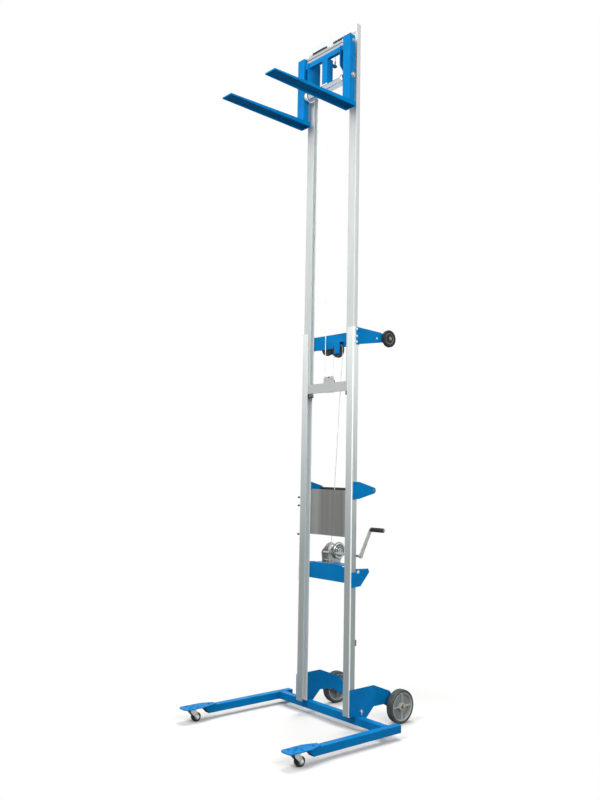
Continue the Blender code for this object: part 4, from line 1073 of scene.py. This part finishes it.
class LIFT_OT_winch(bpy.types.Operator):
    """Winch frame, drum, wound rope and brake"""

    bl_idname = "lift.winch"
    bl_label = "Winch"

    def execute(self, context):
        for node in ("winch_frame", "winch_drum", "crank_shaft"):
            refined(node, "zinc", 0.0003)
        self.wound_rope()
        self.gear_rings_painted_light()
        self.ratchet()
        self.fasteners()
        return {"FINISHED"}

    def gear_rings_painted_light(self):
        """Pressed rings in a brighter metal as painted highlight, and a dark web between them as
        painted shade, on the gear's outer face.
        """
        drum = middle("winch_drum")
        centre, slope = (GEAR_FACE_X, drum.y, drum.z), 0.0008
        bright, web = bmesh.new(), bmesh.new()
        for inner, outer, rise in ((0.0375, 0.0440, 0.0018), (0.0235, 0.0265, 0.0014),
                                   (0.0083, 0.0150, 0.0030)):
            add_ring(bright, "X", centre, [(outer, 0.0), (outer - slope, rise),
                                           (inner + slope, rise), (inner, 0.0)], 64)
        put("gear_rings_painted_light", bright, "bright", "drum", 0.0003)
        for inner, outer in ((0.0152, 0.0233), (0.0267, 0.0373)):
            add_ring(web, "X", centre, annulus(inner, outer, 0.0, 0.0004), 64)
        put("gear_web_painted_shade", web, "dark_zinc", "drum")

    def wound_rope(self):
        sizes = bpy.context.scene.lift_sizes
        drum = middle("winch_drum")
        radius = DRUM_RADIUS + sizes.rope
        steps = 24 * sizes.turns
        path = []
        for step in range(steps + 1):
            part = step / steps
            angle = 2 * math.pi * sizes.turns * part + math.pi
            path.append((DRUM_START_X + (DRUM_END_X - DRUM_START_X) * part,
                         drum.y + radius * math.cos(angle), drum.z + radius * math.sin(angle)))
        put_rope("rope_on_drum", path, "drum")

    def ratchet(self):
        """Toothed brake wheel on the crank shaft."""
        shaft = middle("crank_shaft")
        teeth, face_x, end_x = 16, 0.0180, 0.0230
        outline = []
        for tooth in range(teeth):
            angle = tooth * 360 / teeth
            outline += arc((shaft.y, shaft.z), 0.0215, angle, angle, 1)[:1]
            outline += arc((shaft.y, shaft.z), 0.0180, angle + 4, angle + 18, 2)
        shape = bmesh.new()
        add_plate(shape, "X", outline, face_x, end_x)
        add_round(shape, "X", (end_x, shaft.y, shaft.z), 0.0150, 0.0060, 32, 0.0130)
        put("brake_wheel", shape, "dark_zinc", "crank", 0.0003)

    def fasteners(self):
        low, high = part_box("winch_frame")
        drum = middle("winch_drum")
        feet, nut = bmesh.new(), bmesh.new()
        for y in (low.y + 0.030, high.y - 0.025):
            for x in (low.x + 0.018, high.x - 0.018):
                add_bolt(feet, "Z", (x, y, low.z + 0.0030), 1, 0.011, 0.0045)
        put("winch_feet_bolts", feet, "zinc", "base_mast", 0.0003)
        add_bolt(nut, "X", (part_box("winch_drum")[0].x, drum.y, drum.z), -1, 0.018, 0.006)
        put("drum_nut", nut, "zinc", "drum", 0.0003)


class LIFT_OT_crank(bpy.types.Operator):
    """Crank arm and grip"""

    bl_idname = "lift.crank"
    bl_label = "Crank"

    def execute(self, context):
        refined("crank_arm", "zinc", 0.0006)
        ribs = context.scene.lift_sizes.ribs
        centre, radius, half = wheel_size("crank_grip")
        pitch = (2 * half - 0.012) / ribs
        dip = radius - 0.0012
        profile = [(radius - 0.004, half), (radius - 0.001, half - 0.002)]
        for rib in range(ribs):
            along = half - 0.006 - pitch * rib
            profile += [(radius, along), (radius, along - pitch * 0.55),
                        (dip, along - pitch * 0.65), (dip, along - pitch * 0.9)]
        profile += [(radius, 0.005 - half), (radius - 0.002, 0.001 - half),
                    (radius - 0.004, -half), (0.0053, -half), (0.0053, half)]
        shape, cap = bmesh.new(), bmesh.new()
        add_ring(shape, "X", centre, profile, 40)
        piece = put("crank_grip_piece", shape, "black", "grip", 0.0)
        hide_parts("crank_grip")
        end = outer_face("crank_grip", 1) + 0.0042
        add_bolt(cap, "X", (end, centre.y, centre.z), 1, 0.010, 0.0035)
        put("grip_nut", cap, "zinc", "crank", 0.0002)
        return {"FINISHED"}


class LIFT_OT_base(bpy.types.Operator):
    """Legs, cross tube and feet with their casters"""

    bl_idname = "lift.base"
    bl_label = "Base"

    def execute(self, context):
        refined("cross_tube", "enamel", 0.0012)
        for word, side in SIDES:
            refined(f"leg_{word}", "enamel", 0.0008)
            refined(f"foot_plate_{word}", "enamel", 0.0008)
            refined(f"caster_fork_{word}", "zinc", 0.0003)
            self.plug(word)
            self.foot_bolts(word)
            self.caster_wheel(word)
            self.leg_weld(word, side)
        return {"FINISHED"}

    def plug(self, word):
        """Plug set in the leg's open, slanted front end."""
        low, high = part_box(f"leg_{word}")
        slant, wall = 0.0400 / (high.z - low.z), 0.0033
        front, back = ([(low.y + slant * (high.z - z) + depth, z)
                        for z in (low.z + wall, high.z - wall)] for depth in (0.002, 0.014))
        shape = bmesh.new()
        add_plate(shape, "X", front + back[::-1], low.x + wall, high.x - wall)
        put(f"leg_plug_{word}", shape, "enamel", "base_mast", 0.0006)

    def foot_bolts(self, word):
        low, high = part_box(f"foot_plate_{word}")
        middle_x = (low.x + high.x) / 2
        shape = bmesh.new()
        for y in (-0.5200, -0.4660):
            for x in (middle_x - 0.020, middle_x + 0.020):
                add_bolt(shape, "Z", (x, y, low.z + 0.0060), 1, 0.011, 0.0035)
        put(f"foot_bolts_{word}", shape, "enamel", "base_mast", 0.0003)

    def caster_wheel(self, word):
        node = f"caster_wheel_{word}"
        centre, radius, half = wheel_size(node)
        tyre, hub, ends = (bmesh.new() for _shape in range(3))
        add_ring(tyre, "X", centre, mirrored(
            [(radius - 0.003, half), (radius - 0.0007, half - 0.0022), (radius, half - 0.005)],
            [(0.0165, half), (0.0160, half - 0.001)]), 48)
        piece = put(f"caster_tyre_{word}", tyre, "small_tyre", node, 0.0003)
        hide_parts(node)
        add_ring(hub, "X", centre, mirrored(
            [(0.0158, half - 0.002)],
            [(0.012, half - 0.004), (0.008, half - 0.004), (0.007, half), (0.0043, half)]), 40)
        put(f"caster_hub_{word}", hub, "rim", node, 0.0003)
        reach, disc = half + 0.0035, 0.0014
        for out in (-1, 1):
            x = centre.x + out * reach
            add_round(ends, "X", (x, centre.y, centre.z), 0.0108, out * disc, 32, 0.0100)
            add_bolt(ends, "X", (x + out * disc, centre.y, centre.z), out, 0.010, 0.0035, 0.0)
        put(f"caster_nuts_{word}", ends, "plate", f"caster_fork_{word}", 0.0002)

    def leg_weld(self, word, side):
        """Bead round the cross tube's end on the leg."""
        low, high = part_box("cross_tube")
        corners = ((low.y, low.z), (low.y, high.z), (high.y, high.z), (high.y, low.z))
        put_bead(f"leg_weld_{word}", [(high.x * side, *corner) for corner in corners], 0.0024,
                 "base_mast")


class LIFT_OT_rear_wheels(bpy.types.Operator):
    """Axle brackets, lock pins and spoked rear wheels"""

    bl_idname = "lift.rear_wheels"
    bl_label = "Rear wheels"

    def execute(self, context):
        for word, side in SIDES:
            refined(f"axle_bracket_{word}", "enamel")
            refined(f"lock_pin_{word}", "plate", 0.0004)
            self.tyre(word)
            self.rim(word)
            self.axle(word, side)
            self.bracket_bolts(word, side)
        return {"FINISHED"}

    def tyre(self, word):
        node = f"rear_tyre_{word}"
        centre, radius, half = wheel_size(node)
        wall = wheel_size(f"rear_rim_{word}")[1] + 0.0003
        edge, root = 0.0030, 0.0010
        tread = []
        for along in (0.008, 0.0, -0.008):
            tread += [(radius, along + edge), (radius - 0.0016, along + root),
                      (radius - 0.0016, along - root), (radius, along - edge)]
        shape = bmesh.new()
        add_ring(shape, "X", centre, mirrored(
            [(wall, half - 0.003), (wall + 0.002, half - 0.0005), (radius - 0.006, half),
             (radius - 0.002, half - 0.0025), (radius - 0.0005, half - 0.007)], [], tread), 72)
        piece = put(f"{node}_piece", shape, "tyre", f"rear_wheel_{word}", 0.0)
        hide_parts(node)

    def rim(self, word):
        """Dished rim with spokes that stand out from its web."""
        node = f"rear_rim_{word}"
        centre, outer, half = wheel_size(node)
        shape, web = bmesh.new(), bmesh.new()
        add_ring(shape, "X", centre, mirrored(
            [(outer, half - 0.001)], [(outer - 0.005, half - 0.001), (outer - 0.008, 0.004)]), 72)
        add_ring(shape, "X", centre, mirrored(
            [(0.0235, half - 0.003)], [(0.0215, half), (0.0083, half)]), 72)
        spokes = bpy.context.scene.lift_sizes.spokes
        for spoke in range(spokes):
            for facing in (math.pi, 0.0):
                made = add_bar(shape, (0.0, -0.0040, 0.0225),
                               (half - 0.006, 0.0040, outer - 0.0065))
                turn = (Matrix.Rotation(2 * math.pi * spoke / spokes, 3, "X")
                        @ Matrix.Rotation(facing, 3, "Z"))
                bmesh.ops.rotate(shape, verts=made, cent=(0, 0, 0), matrix=turn)
                bmesh.ops.translate(shape, vec=centre, verts=made)
        # The web's darker grey is painted shade in the rim's dish.
        add_ring(web, "X", centre, mirrored([(outer - 0.0075, 0.003)], [(0.0230, 0.003)]), 72)
        put(f"rear_web_{word}", web, "rim_web_shade", f"rear_wheel_{word}")
        piece = put(f"{node}_piece", shape, "rim", f"rear_wheel_{word}", 0.0008, merge=0.0000001)
        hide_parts(node)

    def axle(self, word, side):
        centre = middle(f"rear_rim_{word}")
        end = outer_face(f"rear_rim_{word}", side) + side * 0.0003
        shape = bmesh.new()
        add_seated_bolt(shape, (end, centre.y, centre.z), side, (0.0150, 0.0016, 32), 0.020,
                        0.0105)
        put(f"axle_nut_{word}", shape, "brass", "base_mast", 0.0004)

    def bracket_bolts(self, word, side):
        face, washer = side * BRACKET_FACE_X, side * 0.0012
        shape = bmesh.new()
        for y, z in ((0.118, 0.205), (0.118, 0.165), (0.250, 0.205), (0.250, 0.140)):
            add_round(shape, "X", (face, y, z), 0.0062, washer, 24)
            add_round(shape, "X", (face + washer, y, z), 0.0050, side * 0.0026, 24, 0.0034)
        put(f"bracket_bolts_{word}", shape, "enamel", "base_mast", 0.0003)


class LIFT_PT_panel(bpy.types.Panel):
    """Lift pieces and finishes"""

    bl_idname = "LIFT_PT_panel"
    bl_label = "Material Lift"
    bl_space_type = "VIEW_3D"
    bl_region_type = "UI"
    bl_category = "Lift"

    def draw(self, context):
        layout = self.layout
        for group in (context.scene.lift_colours, context.scene.lift_sizes):
            for name in group.__annotations__:
                layout.prop(group, name)
        for operator in OPERATORS:
            layout.operator(operator.bl_idname)


OPERATORS = (
    LIFT_OT_stage, LIFT_OT_masts, LIFT_OT_carriage, LIFT_OT_forks, LIFT_OT_head, LIFT_OT_rope,
    LIFT_OT_cover, LIFT_OT_handle, LIFT_OT_winch_bar, LIFT_OT_winch, LIFT_OT_crank, LIFT_OT_base,
    LIFT_OT_rear_wheels,
)
CLASSES = (LiftColours, LiftSizes) + OPERATORS + (LIFT_PT_panel,)


def register():
    for item in CLASSES:
        bpy.utils.register_class(item)
    bpy.types.Scene.lift_colours = PointerProperty(type=LiftColours)
    bpy.types.Scene.lift_sizes = PointerProperty(type=LiftSizes)


def unregister():
    del bpy.types.Scene.lift_sizes
    del bpy.types.Scene.lift_colours
    for item in reversed(CLASSES):
        bpy.utils.unregister_class(item)


def main():
    register()
    mix_finishes()
    bpy.ops.lift.stage()
    bpy.ops.lift.masts()
    bpy.ops.lift.carriage()
    bpy.ops.lift.forks()
    bpy.ops.lift.head()
    bpy.ops.lift.rope()
    bpy.ops.lift.cover()
    bpy.ops.lift.handle()
    bpy.ops.lift.winch_bar()
    bpy.ops.lift.winch()
    bpy.ops.lift.crank()
    bpy.ops.lift.base()
    bpy.ops.lift.rear_wheels()


if __name__ == "__main__":
    main()
